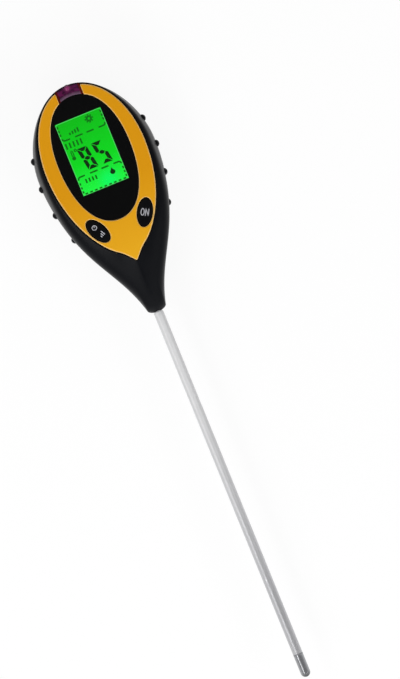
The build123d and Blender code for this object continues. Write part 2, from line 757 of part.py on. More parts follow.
with BuildPart() as window_mask:
    extrude(oval_face(WINDOW_GAP, POCKET_Z), amount=MASK_THICKNESS)
    with BuildSketch(Plane.XY.offset(POCKET_Z)):
        with Locations(VIEW_SPOT):
            Rectangle(VIEW_WIDTH, VIEW_LENGTH)
    extrude(amount=MASK_THICKNESS, mode=Mode.SUBTRACT)
finish(window_mask.part, "window_mask")

# Light sensor and its window at the crown
with BuildPart() as sensor_window:
    add(front_block.part)
    extrude(outline_face(BEZEL, RIM_Z), amount=RIM_DROP - SENSOR_RECESS)
    with Locations((0, up(HEAD_LENGTH - SENSOR_SETBACK + SENSOR_GAP), BEZEL_TOP_Z - SENSOR_DEPTH + SENSOR_GAP)):
        Box(
            SENSOR_WIDTH,
            2 * SENSOR_SETBACK,
            2 * SENSOR_DEPTH,
            align=(Align.CENTER, Align.MIN, Align.MIN),
            mode=Mode.INTERSECT,
        )
    extrude(oval_face(0, PARTING_Z), amount=BEZEL_TOP_Z - PARTING_Z, mode=Mode.SUBTRACT)
    with Locations((0, up(HEAD_LENGTH - SENSOR_WALL), BEZEL_TOP_Z - SENSOR_RECESS - SENSOR_WALL)):
        Box(
            SENSOR_WIDTH - 2 * SENSOR_WALL,
            2 * SENSOR_SETBACK,
            2 * SENSOR_DEPTH,
            align=(Align.CENTER, Align.MAX, Align.MAX),
            mode=Mode.SUBTRACT,
        )
    with Locations((0, up(HEAD_LENGTH + LENS_PROUD - LENS_RADIUS), BEZEL_TOP_Z - LENS_DROP)):
        Sphere(LENS_RADIUS)
finish(sensor_window.part, "sensor_window")

with BuildPart() as light_sensor:
    with BuildSketch(Plane.XY.offset(BOARD_TOP_Z)):
        with Locations(DIODE_SPOT):
            with GridLocations(DIODE_PITCH, 0, 2, 1):
                Circle(PIN_RADIUS)
    extrude(amount=DIODE_STAND)
    with Locations((*DIODE_SPOT, DIODE_Z)):
        Cylinder(DIODE_RADIUS + DIODE_FLANGE, DIODE_FLANGE_THICKNESS, align=BASE)
        Cylinder(DIODE_RADIUS, DIODE_BODY, align=BASE)
    with Locations((*DIODE_SPOT, DIODE_Z + DIODE_BODY)):
        Sphere(DIODE_RADIUS)
finish(light_sensor.part, "light_sensor")

# Display stack on the board
with BuildPart() as lcd_frame:
    with BuildSketch(Plane.XY.offset(BOARD_TOP_Z)):
        with Locations(VIEW_SPOT):
            Rectangle(GLASS_WIDTH + 2 * FRAME_BORDER, GLASS_LENGTH + 2 * FRAME_BORDER)
            Rectangle(GLASS_WIDTH + 2 * FRAME_GAP, GLASS_LENGTH + 2 * FRAME_GAP, mode=Mode.SUBTRACT)
    extrude(amount=GLASS_TOP_Z - BOARD_TOP_Z)
    with BuildSketch(Plane.XY.offset(GLASS_TOP_Z)):
        with Locations(VIEW_SPOT):
            Rectangle(GLASS_WIDTH + 2 * FRAME_BORDER, GLASS_LENGTH + 2 * FRAME_BORDER)
            Rectangle(VIEW_WIDTH + 2 * VIEW_MARGIN, VIEW_LENGTH + 2 * VIEW_MARGIN, mode=Mode.SUBTRACT)
    extrude(amount=FRAME_LIP)
finish(lcd_frame.part, "lcd_frame")

with BuildPart() as lcd_glass:
    with Locations((*VIEW_SPOT, GLASS_Z)):
        Box(GLASS_WIDTH, GLASS_LENGTH, GLASS_THICKNESS, align=BASE)
finish(lcd_glass.part, "lcd_glass")

with BuildPart() as backlight_panel:
    with Locations((*VIEW_SPOT, BOARD_TOP_Z)):
        Box(VIEW_WIDTH + 2 * PANEL_MARGIN, VIEW_LENGTH + 2 * PANEL_MARGIN, PANEL_THICKNESS, align=BASE)
    with Locations((*LED_SPOT, BOARD_TOP_Z)):
        Box(
            LED_WIDTH + 2 * LED_GAP,
            2 * (LED_LENGTH + LED_GAP),
            LED_HEIGHT + LED_GAP,
            align=BASE,
            mode=Mode.SUBTRACT,
        )
finish(backlight_panel.part, "backlight_panel")

with BuildPart() as backlight_led:
    with Locations((*LED_SPOT, BOARD_TOP_Z)):
        Box(LED_WIDTH, LED_LENGTH, LED_HEIGHT, align=(Align.CENTER, Align.MIN, Align.MIN))
finish(backlight_led.part, "backlight_led")

with BuildPart() as zebra_strips:
    strip_spread = VIEW_LENGTH + 2 * (PANEL_MARGIN + STRIP_GAP) + STRIP_WIDTH
    with BuildSketch(Plane.XY.offset(BOARD_TOP_Z)):
        with Locations(VIEW_SPOT):
            with GridLocations(0, strip_spread, 1, 2):
                Rectangle(VIEW_WIDTH, STRIP_WIDTH)
    extrude(amount=PANEL_THICKNESS)
finish(zebra_strips.part, "zebra_strips")

# Board and what is soldered to it
with BuildPart() as main_board:
    extrude(outline_face(BOARD, BOARD_Z), amount=BOARD_THICKNESS)
    with BuildSketch(Plane.XY.offset(BOARD_Z)):
        with Locations((0, up(BOARD_TAIL))):
            Rectangle(HEAD_WIDTH, BOARD_TAIL, align=(Align.CENTER, Align.MAX))
        with Locations(*SCREW_SPOTS):
            Circle(SCREW_POST_RADIUS + BOARD_GAP)
        with Locations(*STANDOFF_SPOTS):
            Circle(BOARD_SCREW_RADIUS + SCREW_GAP)
    extrude(amount=BOARD_THICKNESS, mode=Mode.SUBTRACT)
finish(main_board.part, "main_board")

with BuildPart() as board_screws:
    with BuildSketch(Plane.XY.offset(BOARD_Z)):
        with Locations(*STANDOFF_SPOTS):
            Circle(BOARD_SCREW_RADIUS)
    extrude(amount=BOARD_SCREW_LENGTH)
    with BuildSketch(Plane.XY.offset(BOARD_Z)):
        with Locations(*STANDOFF_SPOTS):
            Circle(BOARD_SCREW_HEAD_RADIUS)
    extrude(amount=-BOARD_SCREW_HEAD)
finish(board_screws.part, "board_screws")

with BuildPart() as controller_chip:
    chip_spot = (CHIP_PLACE[0], up(CHIP_PLACE[1]), BOARD_Z)
    leg_width, leg_length, leg_thickness = CHIP_LEG
    with Locations(chip_spot):
        Box(CHIP_SIDE, CHIP_SIDE, CHIP_THICKNESS, align=(Align.CENTER, Align.CENTER, Align.MAX))
        with GridLocations(CHIP_LEG_PITCH, CHIP_SIDE + leg_length, CHIP_LEGS, 2):
            Box(leg_width, leg_length, leg_thickness, align=(Align.CENTER, Align.CENTER, Align.MAX))
        with GridLocations(CHIP_SIDE + leg_length, CHIP_LEG_PITCH, 2, CHIP_LEGS):
            Box(leg_length, leg_width, leg_thickness, align=(Align.CENTER, Align.CENTER, Align.MAX))
finish(controller_chip.part, "controller_chip")

with BuildPart() as board_parts:
    with BuildSketch(Plane.XY.offset(BOARD_Z)):
        with Locations((SMALL_PART_PLACE[0], up(SMALL_PART_PLACE[1]))):
            with GridLocations(0, SMALL_PART_PITCH, 1, SMALL_PART_COUNT):
                Rectangle(SMALL_PART[0], SMALL_PART[1])
    extrude(amount=-SMALL_PART[2])
    with BuildSketch(Plane.XY.offset(BOARD_Z)):
        with Locations((-SIDE_PART_X - CAPACITOR_RADIUS, up(CAPACITOR_HEIGHT))):
            Circle(CAPACITOR_RADIUS)
    extrude(amount=-CAPACITOR_LENGTH)
    with BuildSketch(Plane.XY.offset(BOARD_Z)):
        with Locations((SIDE_PART_X + TRIMMER_SIDE / 2, up(TRIMMER_HEIGHT))):
            Rectangle(TRIMMER_SIDE, TRIMMER_SIDE)
    extrude(amount=-TRIMMER_DEPTH)
finish(board_parts.part, "board_parts")

with BuildPart() as contact_pads:
    with BuildSketch(Plane.XY.offset(BOARD_TOP_Z)):
        with Locations(*KEY_PLACES.values()):
            Circle(PAD_RADIUS)
    extrude(amount=PAD_THICKNESS)
finish(contact_pads.part, "contact_pads")

# Keypad mat on the board, with a hole under each dome and a cut for the board's centre standoff
with BuildPart() as keypad_mat:
    with BuildSketch(Plane.XY.offset(BOARD_TOP_Z)):
        with Locations((0, up(KEY_HEIGHT))):
            RectangleRounded(
                2 * (KEY_X + DOME_RADIUS + MAT_MARGIN),
                2 * (DOME_RADIUS + MAT_MARGIN),
                DOME_RADIUS,
            )
        with Locations(*KEY_PLACES.values()):
            Circle(DOME_RADIUS - DOME_WALL, mode=Mode.SUBTRACT)
        with Locations(STANDOFF_SPOTS[-1]):
            Circle(STANDOFF_RADIUS + BOARD_GAP, mode=Mode.SUBTRACT)
    extrude(amount=MAT_THICKNESS)
finish(keypad_mat.part, "keypad_mat")

# Each key: the button, the pill that closes its contact and the dome that lifts it
for name, place in KEY_PLACES.items():
    with BuildPart() as button:
        with BuildSketch(Plane.XY.offset(POST_Z)):
            with Locations(place):
                Circle(POST_RADIUS)
        extrude(amount=POST_LENGTH)
        extrude(key_sketch(place, FLANGE_GROW, FLANGE_Z), amount=FLANGE_THICKNESS)
        extrude(key_sketch(place, 0, FLANGE_Z), amount=BEZEL_TOP_Z + KEY_PROUD - FLANGE_Z)
        fillet(button.faces().sort_by(Axis.Z)[-1].edges(), KEY_EDGE)
    finish(button.part, f"{name}_button")

    with BuildPart() as contact:
        with BuildSketch(Plane.XY.offset(PILL_Z)):
            with Locations(place):
                Circle(PILL_RADIUS)
        extrude(amount=POST_Z - PILL_Z)
    finish(contact.part, f"{name}_contact")

    with BuildPart() as dome:
        dome_axis = Axis((place.position.X, place.position.Y, 0), (0, 0, 1))
        with BuildSketch(Plane((place.position.X, place.position.Y, 0), x_dir=(1, 0, 0), z_dir=(0, -1, 0))):
            with BuildLine():
                Polyline(
                    (DOME_RADIUS - DOME_WALL, MAT_TOP_Z),
                    (DOME_RADIUS, MAT_TOP_Z),
                    (POST_RADIUS, POST_Z),
                    (POST_RADIUS - DOME_WALL, POST_Z),
                    close=True,
                )
            make_face()
        revolve(axis=dome_axis)
    finish(dome.part, f"{name}_dome")

# Battery, its snap connector and the leads to the board
with BuildPart() as battery:
    with Locations(along_y(0, BATTERY_BOTTOM, BATTERY_AXIS_Z)):
        Box(BATTERY_WIDTH, BATTERY_DEPTH, BATTERY_BODY, align=BASE)
    fillet(battery.edges().filter_by(Axis.Y), BATTERY_EDGE)
finish(battery.part, "battery")

with BuildPart() as battery_terminals:
    with Locations(along_y(-TERMINAL_PITCH / 2, BATTERY_TOP, BATTERY_AXIS_Z)):
        Cylinder(STUD_RADIUS, TERMINAL_LENGTH, align=BASE)
    with Locations(along_y(TERMINAL_PITCH / 2, BATTERY_TOP, BATTERY_AXIS_Z)):
        Cylinder(SOCKET_RADIUS, TERMINAL_LENGTH, align=BASE)
        Cylinder(SOCKET_BORE, TERMINAL_LENGTH, align=BASE, mode=Mode.SUBTRACT)
finish(battery_terminals.part, "battery_terminals")

with BuildPart() as battery_snap:
    with Locations(along_y(0, SNAP_BOTTOM, BATTERY_AXIS_Z)):
        Box(BATTERY_WIDTH - 2 * SNAP_INSET, SNAP_DEPTH, SNAP_LENGTH, align=BASE)
    fillet(battery_snap.edges().filter_by(Axis.Y), BATTERY_EDGE)
    terminal_room = TERMINAL_LENGTH + TERMINAL_GAP
    for side, radius in ((-1, STUD_RADIUS), (1, SOCKET_RADIUS)):
        with Locations(along_y(side * TERMINAL_PITCH / 2, BATTERY_TOP, BATTERY_AXIS_Z)):
            Cylinder(radius + TERMINAL_GAP, terminal_room, align=BASE, mode=Mode.SUBTRACT)
    with Locations(along_y(TERMINAL_PITCH / 2, SNAP_BOTTOM, BATTERY_AXIS_Z)):
        Cylinder(SOCKET_BORE - TERMINAL_GAP, SNAP_LENGTH, align=BASE)
finish(battery_snap.part, "battery_snap")

with BuildPart() as battery_leads:
    for lead_x in (-LEAD_PITCH / 2, LEAD_PITCH / 2):
        rise_y = up(SNAP_TOP + LEAD_ROOM / 2)
        with BuildLine():
            FilletPolyline(
                (lead_x, up(SNAP_TOP), BATTERY_AXIS_Z),
                (lead_x, rise_y, BATTERY_AXIS_Z),
                (lead_x, rise_y, BOARD_Z),
                radius=LEAD_BEND,
            )
        with BuildSketch(Plane(along_y(lead_x, SNAP_TOP, BATTERY_AXIS_Z))):
            Circle(LEAD_RADIUS)
        sweep()
finish(battery_leads.part, "battery_leads")

# Battery door with its hinge barrel and pins, and the foam pad that holds the battery
with BuildPart() as battery_door:
    extrude(door_sketch(0, DOOR_RECESS), amount=DOOR_THICKNESS)
    with BuildSketch(Plane.XY.offset(DOOR_RECESS)):
        with Locations((0, up(HINGE_HEIGHT))):
            Rectangle(2 * (DOOR_HALF - DOOR_HIP), 2 * HINGE_SETBACK, align=(Align.CENTER, Align.MIN))
    extrude(amount=DOOR_THICKNESS)
    with Locations(Location((0, up(HINGE_HEIGHT), HINGE_Z), (0, 90, 0))):
        Cylinder(BARREL_RADIUS, 2 * BARREL_HALF)
        Cylinder(HINGE_PIN_RADIUS, 2 * (BARREL_HALF + HINGE_PIN_LENGTH))
    with Locations((0, up(DOOR_TOP), DOOR_RECESS + DOOR_THICKNESS)):
        Box(
            CATCH_WIDTH,
            2 * (DOOR_GAP - CATCH_GAP),
            CATCH_THICKNESS,
            align=(Align.CENTER, Align.CENTER, Align.MAX),
        )
    ridge_middle = DOOR_TOP - RIDGE_SETBACK - (RIDGE_COUNT - 1) * RIDGE_PITCH / 2
    with Locations((0, up(ridge_middle), DOOR_RECESS)):
        with GridLocations(0, RIDGE_PITCH, 1, RIDGE_COUNT):
            Box(RIDGE_LENGTH, RIDGE_WIDTH, 2 * RIDGE_PROUD)
finish(battery_door.part, "battery_door")

with BuildPart() as door_pad:
    with Locations((0, up((BATTERY_BOTTOM + BATTERY_TOP) / 2), DOOR_INNER_Z)):
        Box(FOAM_WIDTH, FOAM_LENGTH, FOAM_THICKNESS, align=BASE)
finish(door_pad.part, "door_pad")

# Probe: the tube, the insulated tip and its core, held in the neck by a collar and a seal
with BuildPart() as probe_tube:
    with Locations(along_y(0, TUBE_START, PARTING_Z)):
        Cylinder(TUBE_RADIUS, -SHOULDER_GAP - TUBE_START, align=BASE)
        Cylinder(NECK_TUBE_RADIUS, TUBE_END - TUBE_START, align=BASE)
        Cylinder(TUBE_RADIUS - TUBE_WALL, TUBE_END - TUBE_START, align=BASE, mode=Mode.SUBTRACT)
finish(probe_tube.part, "probe_tube")

with BuildPart() as probe_insulator:
    with Locations(along_y(0, TIP_END, PARTING_Z)):
        Cylinder(TUBE_RADIUS, RING_LENGTH, align=BASE)
        Cylinder(SLEEVE_RADIUS, SLEEVE_END - TIP_END, align=BASE)
        Cylinder(CORE_RADIUS + CORE_GAP, SLEEVE_END - TIP_END, align=BASE, mode=Mode.SUBTRACT)
finish(probe_insulator.part, "probe_insulator")

with BuildPart() as probe_tip:
    with Locations(along_y(0, TIP_END - TIP_LENGTH + TUBE_RADIUS, PARTING_Z)):
        Cylinder(TUBE_RADIUS, TIP_LENGTH - TUBE_RADIUS, align=BASE)
        Sphere(TUBE_RADIUS)
    with Locations(along_y(0, TIP_END, PARTING_Z)):
        Cylinder(
            TIP_BORE_RADIUS,
            CORE_IN_TIP + THERMISTOR_LENGTH + 2 * THERMISTOR_GAP,
            align=(Align.CENTER, Align.CENTER, Align.MAX),
            mode=Mode.SUBTRACT,
        )
finish(probe_tip.part, "probe_tip")

with BuildPart() as probe_core:
    with Locations(along_y(0, TIP_END - CORE_IN_TIP, PARTING_Z)):
        Cylinder(CORE_RADIUS, CORE_END - TIP_END + CORE_IN_TIP, align=BASE)
finish(probe_core.part, "probe_core")

with BuildPart() as temperature_sensor:
    with Locations(along_y(0, TIP_END - CORE_IN_TIP - THERMISTOR_GAP, PARTING_Z)):
        Cylinder(THERMISTOR_RADIUS, THERMISTOR_LENGTH, align=(Align.CENTER, Align.CENTER, Align.MAX))
finish(temperature_sensor.part, "temperature_sensor")

with BuildPart() as probe_collar:
    with Locations(along_y(0, COLLAR_HEIGHT, PARTING_Z)):
        Cylinder(NECK_TUBE_RADIUS + COLLAR_WALL, COLLAR_LENGTH)
        Cylinder(NECK_TUBE_RADIUS + TUBE_GAP, COLLAR_LENGTH, mode=Mode.SUBTRACT)
finish(probe_collar.part, "probe_collar")

with BuildPart() as neck_seal:
    with Locations(along_y(0, SEAL_HEIGHT, PARTING_Z)):
        Torus(NECK_TUBE_RADIUS + TUBE_GAP + SEAL_RADIUS, SEAL_RADIUS)
finish(neck_seal.part, "neck_seal")

with BuildPart() as probe_leads:
    for lead_x, lead_start in ((0, CORE_END), (TUBE_LEAD_X, TUBE_END)):
        with BuildLine():
            FilletPolyline(
                (lead_x, up(lead_start), PARTING_Z),
                (lead_x, up(PROBE_LEAD_HEIGHT), PARTING_Z),
                (lead_x, up(PROBE_LEAD_HEIGHT), BOARD_Z),
                radius=LEAD_BEND,
            )
        with BuildSketch(Plane(along_y(lead_x, lead_start, PARTING_Z))):
            Circle(LEAD_RADIUS)
        sweep()
finish(probe_leads.part, "probe_leads")
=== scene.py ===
"""Looks of a hand-held soil meter: finishes for the frame's nodes, the display's marks and the stage."""

import math

import bpy
import numpy as np
from bpy.props import FloatProperty, FloatVectorProperty, PointerProperty
from bpy.types import Operator, Panel, PropertyGroup
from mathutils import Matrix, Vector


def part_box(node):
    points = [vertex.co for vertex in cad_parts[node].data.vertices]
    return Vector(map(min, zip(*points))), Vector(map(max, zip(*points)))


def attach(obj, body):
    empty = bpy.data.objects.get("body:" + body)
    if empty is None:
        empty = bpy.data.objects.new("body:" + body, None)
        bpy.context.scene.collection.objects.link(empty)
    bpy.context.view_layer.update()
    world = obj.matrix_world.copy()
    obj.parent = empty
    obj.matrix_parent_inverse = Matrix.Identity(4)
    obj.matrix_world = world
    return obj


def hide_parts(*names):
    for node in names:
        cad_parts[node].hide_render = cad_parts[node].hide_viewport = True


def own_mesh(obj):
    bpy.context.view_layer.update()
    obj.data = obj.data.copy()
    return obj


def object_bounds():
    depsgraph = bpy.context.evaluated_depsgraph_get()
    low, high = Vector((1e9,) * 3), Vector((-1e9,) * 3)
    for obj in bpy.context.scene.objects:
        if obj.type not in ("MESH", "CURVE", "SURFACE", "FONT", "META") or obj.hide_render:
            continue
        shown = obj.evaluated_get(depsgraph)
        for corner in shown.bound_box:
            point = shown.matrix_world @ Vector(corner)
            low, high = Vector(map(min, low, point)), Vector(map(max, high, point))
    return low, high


bl_info = {
    "name": "Soil Meter Looks",
    "version": (1, 0, 0),
    "blender": (4, 5, 0),
    "location": "View3D > Sidebar > Soil Meter",
    "description": "Finishes, display marks and stage for a hand-held soil meter",
    "category": "Object",
}

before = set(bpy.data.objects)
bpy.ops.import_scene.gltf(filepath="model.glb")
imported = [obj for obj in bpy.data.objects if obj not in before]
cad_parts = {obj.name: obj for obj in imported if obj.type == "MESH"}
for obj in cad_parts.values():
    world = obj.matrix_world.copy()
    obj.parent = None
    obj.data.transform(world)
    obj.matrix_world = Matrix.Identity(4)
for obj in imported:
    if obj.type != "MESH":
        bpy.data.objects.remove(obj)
CAD_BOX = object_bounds()

MM = 0.001
BLACK = (0.0, 0.0, 0.0)
WHITE = (1.0, 1.0, 1.0)
# Thickness of a printed mark, and the width of the display glass's hidden edge
PRINT = 0.02 * MM
GLASS_MARGIN = 2.4 * MM
# Points along a quarter circle, round a ring and up a dome's wall
ARC_STEPS = 10
RING_STEPS = 40
DOME_STEPS = 7
# Lumps of a plain finish's slow drift in colour, in sizes of its grain
DRIFT_LUMPS = 60


def tint(name, words, default):
    """A colour property in scene linear values."""
    return FloatVectorProperty(
        name=name, description=words, subtype="COLOR", size=3, min=0, max=1, default=default
    )


def length(name, words, default):
    """A length property, given in millimetres and kept in metres."""
    return FloatProperty(
        name=name, description=words, subtype="DISTANCE", unit="LENGTH", default=default * MM
    )


def amount(name, words, default, **settings):
    """A number property."""
    return FloatProperty(name=name, description=words, default=default, **settings)


class CasingLooks(PropertyGroup):
    """Colours of the casing, bezel, window and keys."""

    casing: tint("Casing", "Black of the casing's halves and the battery door", (0.0026, 0.0030, 0.0042))
    # Painted light and shade: the bezel's yellow is drawn darker near the crown and paler near the neck
    bezel_top_shaded: tint("Bezel, upper", "Yellow of the bezel near the crown", (0.665, 0.285, 0.003))
    bezel_low_lit: tint("Bezel, lower", "Yellow of the bezel near the neck", (0.775, 0.390, 0.012))
    # Painted highlight: paler yellow on the bezel's rounded edges, where they would catch the light
    bezel_edge_highlight: tint("Bezel edges", "Paler yellow of the bezel's rounded edges", (0.760, 0.480, 0.165))
    mask: tint("Mask", "Black print behind the window", (0.0095, 0.0106, 0.0128))
    key: tint("Keys", "Black of the rubber keys", (0.0034, 0.0035, 0.0040))
    key_ink: tint("Key marks", "Pale ink of the marks on the keys", (0.42, 0.42, 0.45))
    sensor: tint("Sensor window", "Purple of the sensor window", (0.120, 0.008, 0.070))
    # Dark purple of the tint's clouds, also used as painted shade round the lens
    sensor_dark: tint("Sensor shade", "Dark purple round the lens and along the crown", (0.026, 0.003, 0.020))
    # Painted light: the lens is drawn brighter
    sensor_lens_light: tint("Sensor lens", "Brighter purple of the lens", (0.34, 0.036, 0.175))
    sensor_end: tint("Sensor ends", "Dark red where the sensor window meets the bezel", (0.105, 0.003, 0.001))
    sensor_rim: tint("Sensor rim", "Greyish purple of the sensor window's lower edge", (0.190, 0.115, 0.180))
    lens_radius: length("Lens radius", "Radius of the lens at the crown", 1.9)
    rim_bend: length("Rim bend", "Radius of the sensor window's lower edge", 15.4)
    dome_top: length("Dome top", "Radius of a rubber dome where it meets its key", 3.0)
    dome_wall: length("Dome wall", "Thickness of a rubber dome's wall", 0.6)
    battery_wrap: tint("Battery wrap", "Graphite of the battery's wrap", (0.022, 0.025, 0.032))
    battery_band: tint("Battery band", "Pale band of the battery by its terminals", (0.42, 0.43, 0.45))


class DisplayLooks(PropertyGroup):
    """Sizes and colours of what the display shows."""

    digit_width: length("Digit width", "Width of a digit without its slant", 5.5)
    digit_height: length("Digit height", "Height of a digit", 11.9)
    digit_stroke: length("Digit stroke", "Width of a digit's bars", 1.9)
    digit_gap: length("Digit gap", "Gap between a digit's bars", 0.5)
    line_width: length("Line width", "Width of the dashed frames' lines", 0.8)
    mark_width: length("Mark width", "Width of the small marks' lines", 0.65)
    border_width: length("Border width", "Width of the pale border round the display", 0.35)
    slant: amount("Slant", "Sideways lean of the digits for each unit of height", -0.17)
    glow_top: tint("Glow, upper", "Green of the display's upper end", (0.0, 0.52, 0.004))
    glow_middle: tint("Glow, middle", "Green of the display's middle", (0.0, 0.72, 0.010))
    glow_low: tint("Glow, lower", "Green of the display's lower end", (0.010, 1.0, 0.055))
    glow_lamp: tint("Glow, lamp", "Paler green above the backlight's lamp", (0.0, 1.0, 0.12))
    dark: tint("Digit colour", "Dark green of the digits", (0.0, 0.022, 0.001))
    faint: tint("Mark colour", "Fainter green of the small marks", (0.0, 0.155, 0.003))
    border: tint("Border colour", "Pale green of the display's border", (0.08, 0.74, 0.13))


class ProbeLooks(PropertyGroup):
    """Colours of the probe."""

    tube: tint("Tube", "Pale metal of the tube's upper stretch", (0.745, 0.745, 0.75))
    # Painted shade: the tube's lower stretch is drawn greyer
    tube_low_shaded: tint("Tube, lower", "Greyer metal of the tube's lower stretch", (0.58, 0.58, 0.595))
    tip: tint("Tip", "Darker metal of the tip", (0.38, 0.386, 0.40))
    # Painted shade: the tip's round end is drawn dark, and the next line gives how far that shade reaches
    tip_end_shade: tint("Tip end", "Dark metal of the tip's round end", (0.035, 0.035, 0.037))
    end_shade_reach: length("End reach", "How far the dark of the tip's end goes over into the rest", 2.6)
    ring: tint("Ring", "Grey ring between tube and tip", (0.22, 0.22, 0.23))


class StageLooks(PropertyGroup):
    """The floor, the light and the camera."""

    floor: tint("Floor", "Colour of the plain floor in the light that it sends back", (0.50, 0.50, 0.50))
    paper: tint("Paper", "Colour of the floor that the eye sees, under its white", (0.90, 0.90, 0.90))
    horizon: tint("Horizon", "Light from near the horizon", (0.50, 0.50, 0.50))
    zenith: tint("Zenith", "Light from straight above", (0.12, 0.12, 0.125))
    floor_white: amount("Floor white", "Share of white that the eye sees on the floor", 0.90, min=0, max=1)
    left_power: amount("Left lamp", "Watts of the lamp at the left", 20.0, min=0)
    right_power: amount("Right lamp", "Watts of the lamp at the right", 17.0, min=0)
    strip_power: amount("Strip lamp", "Watts of the narrow lamp along the left", 6.5, min=0)
    end_power: amount("End lamps", "Watts of each lamp at the ends", 5.0, min=0)
    camera_height: amount("Camera height", "Distance from the face to the camera", 8.0, unit="LENGTH")
    camera_turn: amount(
        "Camera turn", "Turn of the picture about the view", math.radians(-22.2), unit="ROTATION"
    )
    view_length: length("View length", "Length that the picture's long side covers at the face", 343.8)
    view_x: length("View x", "Place of the picture's middle, across", 14.25)
    view_y: length("View y", "Place of the picture's middle, along the meter", 16.9)


# Material helpers


def new_material(name):
    """An empty material with its shader, its output and a link between them."""
    material = bpy.data.materials.new(name)
    material.use_nodes = True
    tree = material.node_tree
    tree.nodes.clear()
    shader = tree.nodes.new("ShaderNodeBsdfPrincipled")
    output = tree.nodes.new("ShaderNodeOutputMaterial")
    tree.links.new(shader.outputs["BSDF"], output.inputs["Surface"])
    return material, tree, shader


def add_node(tree, kind, values=None, **settings):
    """One node with its settings and socket values."""
    node = tree.nodes.new(kind)
    for key, value in settings.items():
        setattr(node, key, value)
    for key, value in (values or {}).items():
        node.inputs[key].default_value = value
    return node


def place_of(tree, stretch=(1, 1, 1)):
    """Object coordinates in metres, with each axis multiplied by its stretch."""
    coords = add_node(tree, "ShaderNodeTexCoord")
    mapping = add_node(tree, "ShaderNodeMapping", {"Scale": stretch})
    tree.links.new(coords.outputs["Object"], mapping.inputs["Vector"])
    return mapping.outputs["Vector"]


def speckle(tree, size, stretch=(1, 1, 1), detail=3.0):
    """Noise whose lumps are about one size across, from 0 to 1."""
    noise = add_node(tree, "ShaderNodeTexNoise", {"Scale": 1 / size, "Detail": detail, "Roughness": 0.55})
    tree.links.new(place_of(tree, stretch), noise.inputs["Vector"])
    return noise.outputs["Fac"]


def ramp(tree, value, stops):
    """A colour ramp over a value; stops are (place, colour) in order."""
    node = add_node(tree, "ShaderNodeValToRGB")
    elements = node.color_ramp.elements
    while len(elements) < len(stops):
        elements.new(1.0)
    for element, (place, colour) in zip(elements, stops):
        element.position = place
        element.color = (*colour, 1.0)
    tree.links.new(value, node.inputs["Fac"])
    return node.outputs["Color"]


def spread(tree, value, low, high):
    """A value from 0 to 1 laid over a range."""
    node = add_node(tree, "ShaderNodeMapRange", {"To Min": low, "To Max": high})
    tree.links.new(value, node.inputs["Value"])
    return node.outputs["Result"]


def between(tree, value, start, end):
    """0 where a value is at the start or before it, going over to 1 at the end."""
    node = add_node(tree, "ShaderNodeMapRange", {"From Min": start, "From Max": end})
    tree.links.new(value, node.inputs["Value"])
    return node.outputs["Result"]


def along(tree, axis, low, high):
    """How far a point lies along an axis between two places, from 0 to 1."""
    split = add_node(tree, "ShaderNodeSeparateXYZ")
    tree.links.new(place_of(tree), split.inputs["Vector"])
    return between(tree, split.outputs[axis], low, high)


def lean(tree, start, end):
    """0 where the surface's own normal rises by the start or more, 1 where it rises by the end or less."""
    coords = add_node(tree, "ShaderNodeTexCoord")
    split = add_node(tree, "ShaderNodeSeparateXYZ")
    tree.links.new(coords.outputs["Normal"], split.inputs["Vector"])
    return between(tree, split.outputs["Z"], start, end)


def distance(tree, spot, stretch=(1, 1, 1)):
    """How far a point lies from a spot, with each axis multiplied by its stretch."""
    gap = add_node(tree, "ShaderNodeVectorMath", {1: spot}, operation="DISTANCE")
    tree.links.new(place_of(tree, stretch), gap.inputs[0])
    return gap.outputs["Value"]


def near(tree, spot, reach):
    """1 at a spot, falling smoothly to 0 at a distance."""
    fall = {"From Max": reach, "To Min": 1.0, "To Max": 0.0}
    node = add_node(tree, "ShaderNodeMapRange", fall, interpolation_type="SMOOTHSTEP")
    tree.links.new(distance(tree, spot), node.inputs["Value"])
    return node.outputs["Result"]


def pick(tree, share, first, second):
    """The first colour where the share is 0, going over to the second where it is 1."""
    node = add_node(tree, "ShaderNodeMix", data_type="RGBA")
    tree.links.new(share, node.inputs[0])
    for socket, colour in ((node.inputs[6], first), (node.inputs[7], second)):
        if hasattr(colour, "node"):
            tree.links.new(colour, socket)
        else:
            socket.default_value = (*colour, 1)
    return node.outputs[2]


def shaded(colour, share):
    """A colour made darker or lighter by a share."""
    return tuple(min(1.0, c * share) for c in colour)


def moulded(name, colour, rough, grain, depth, level=0.5, metal=0.0, vary=0.12, stretch=(1, 1, 1)):
    """A plain finish: its colour drifts with slow noise, its roughness and bump with a fine grain."""
    material, tree, shader = new_material(name)
    slow = speckle(tree, DRIFT_LUMPS * grain, detail=4.0)
    drift = ((0.3, shaded(colour, 1 - vary)), (0.7, shaded(colour, 1 + vary)))
    tree.links.new(ramp(tree, slow, drift), shader.inputs["Base Color"])
    fine = speckle(tree, grain, stretch)
    tree.links.new(spread(tree, fine, rough * 0.85, rough * 1.15), shader.inputs["Roughness"])
    bump = add_node(tree, "ShaderNodeBump", {"Strength": 0.35, "Distance": depth})
    tree.links.new(fine, bump.inputs["Height"])
    tree.links.new(bump.outputs["Normal"], shader.inputs["Normal"])
    shader.inputs["Metallic"].default_value = metal
    shader.inputs["Specular IOR Level"].default_value = level
    return material


def fade(material, colour, axis, start, end):
    """Lets a finish go over to another colour between two places along an axis."""
    tree = material.node_tree
    shader = next(node for node in tree.nodes if node.type == "BSDF_PRINCIPLED")
    socket = shader.inputs["Base Color"]
    first = socket.links[0].from_socket
    tree.links.new(pick(tree, along(tree, axis, start, end), first, colour), socket)


def dress(material, *names):
    """Gives nodes of the frame a material in place of their plain one."""
    for name in names:
        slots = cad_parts[name].data.materials
        slots.clear()
        slots.append(material)


# Mesh helpers


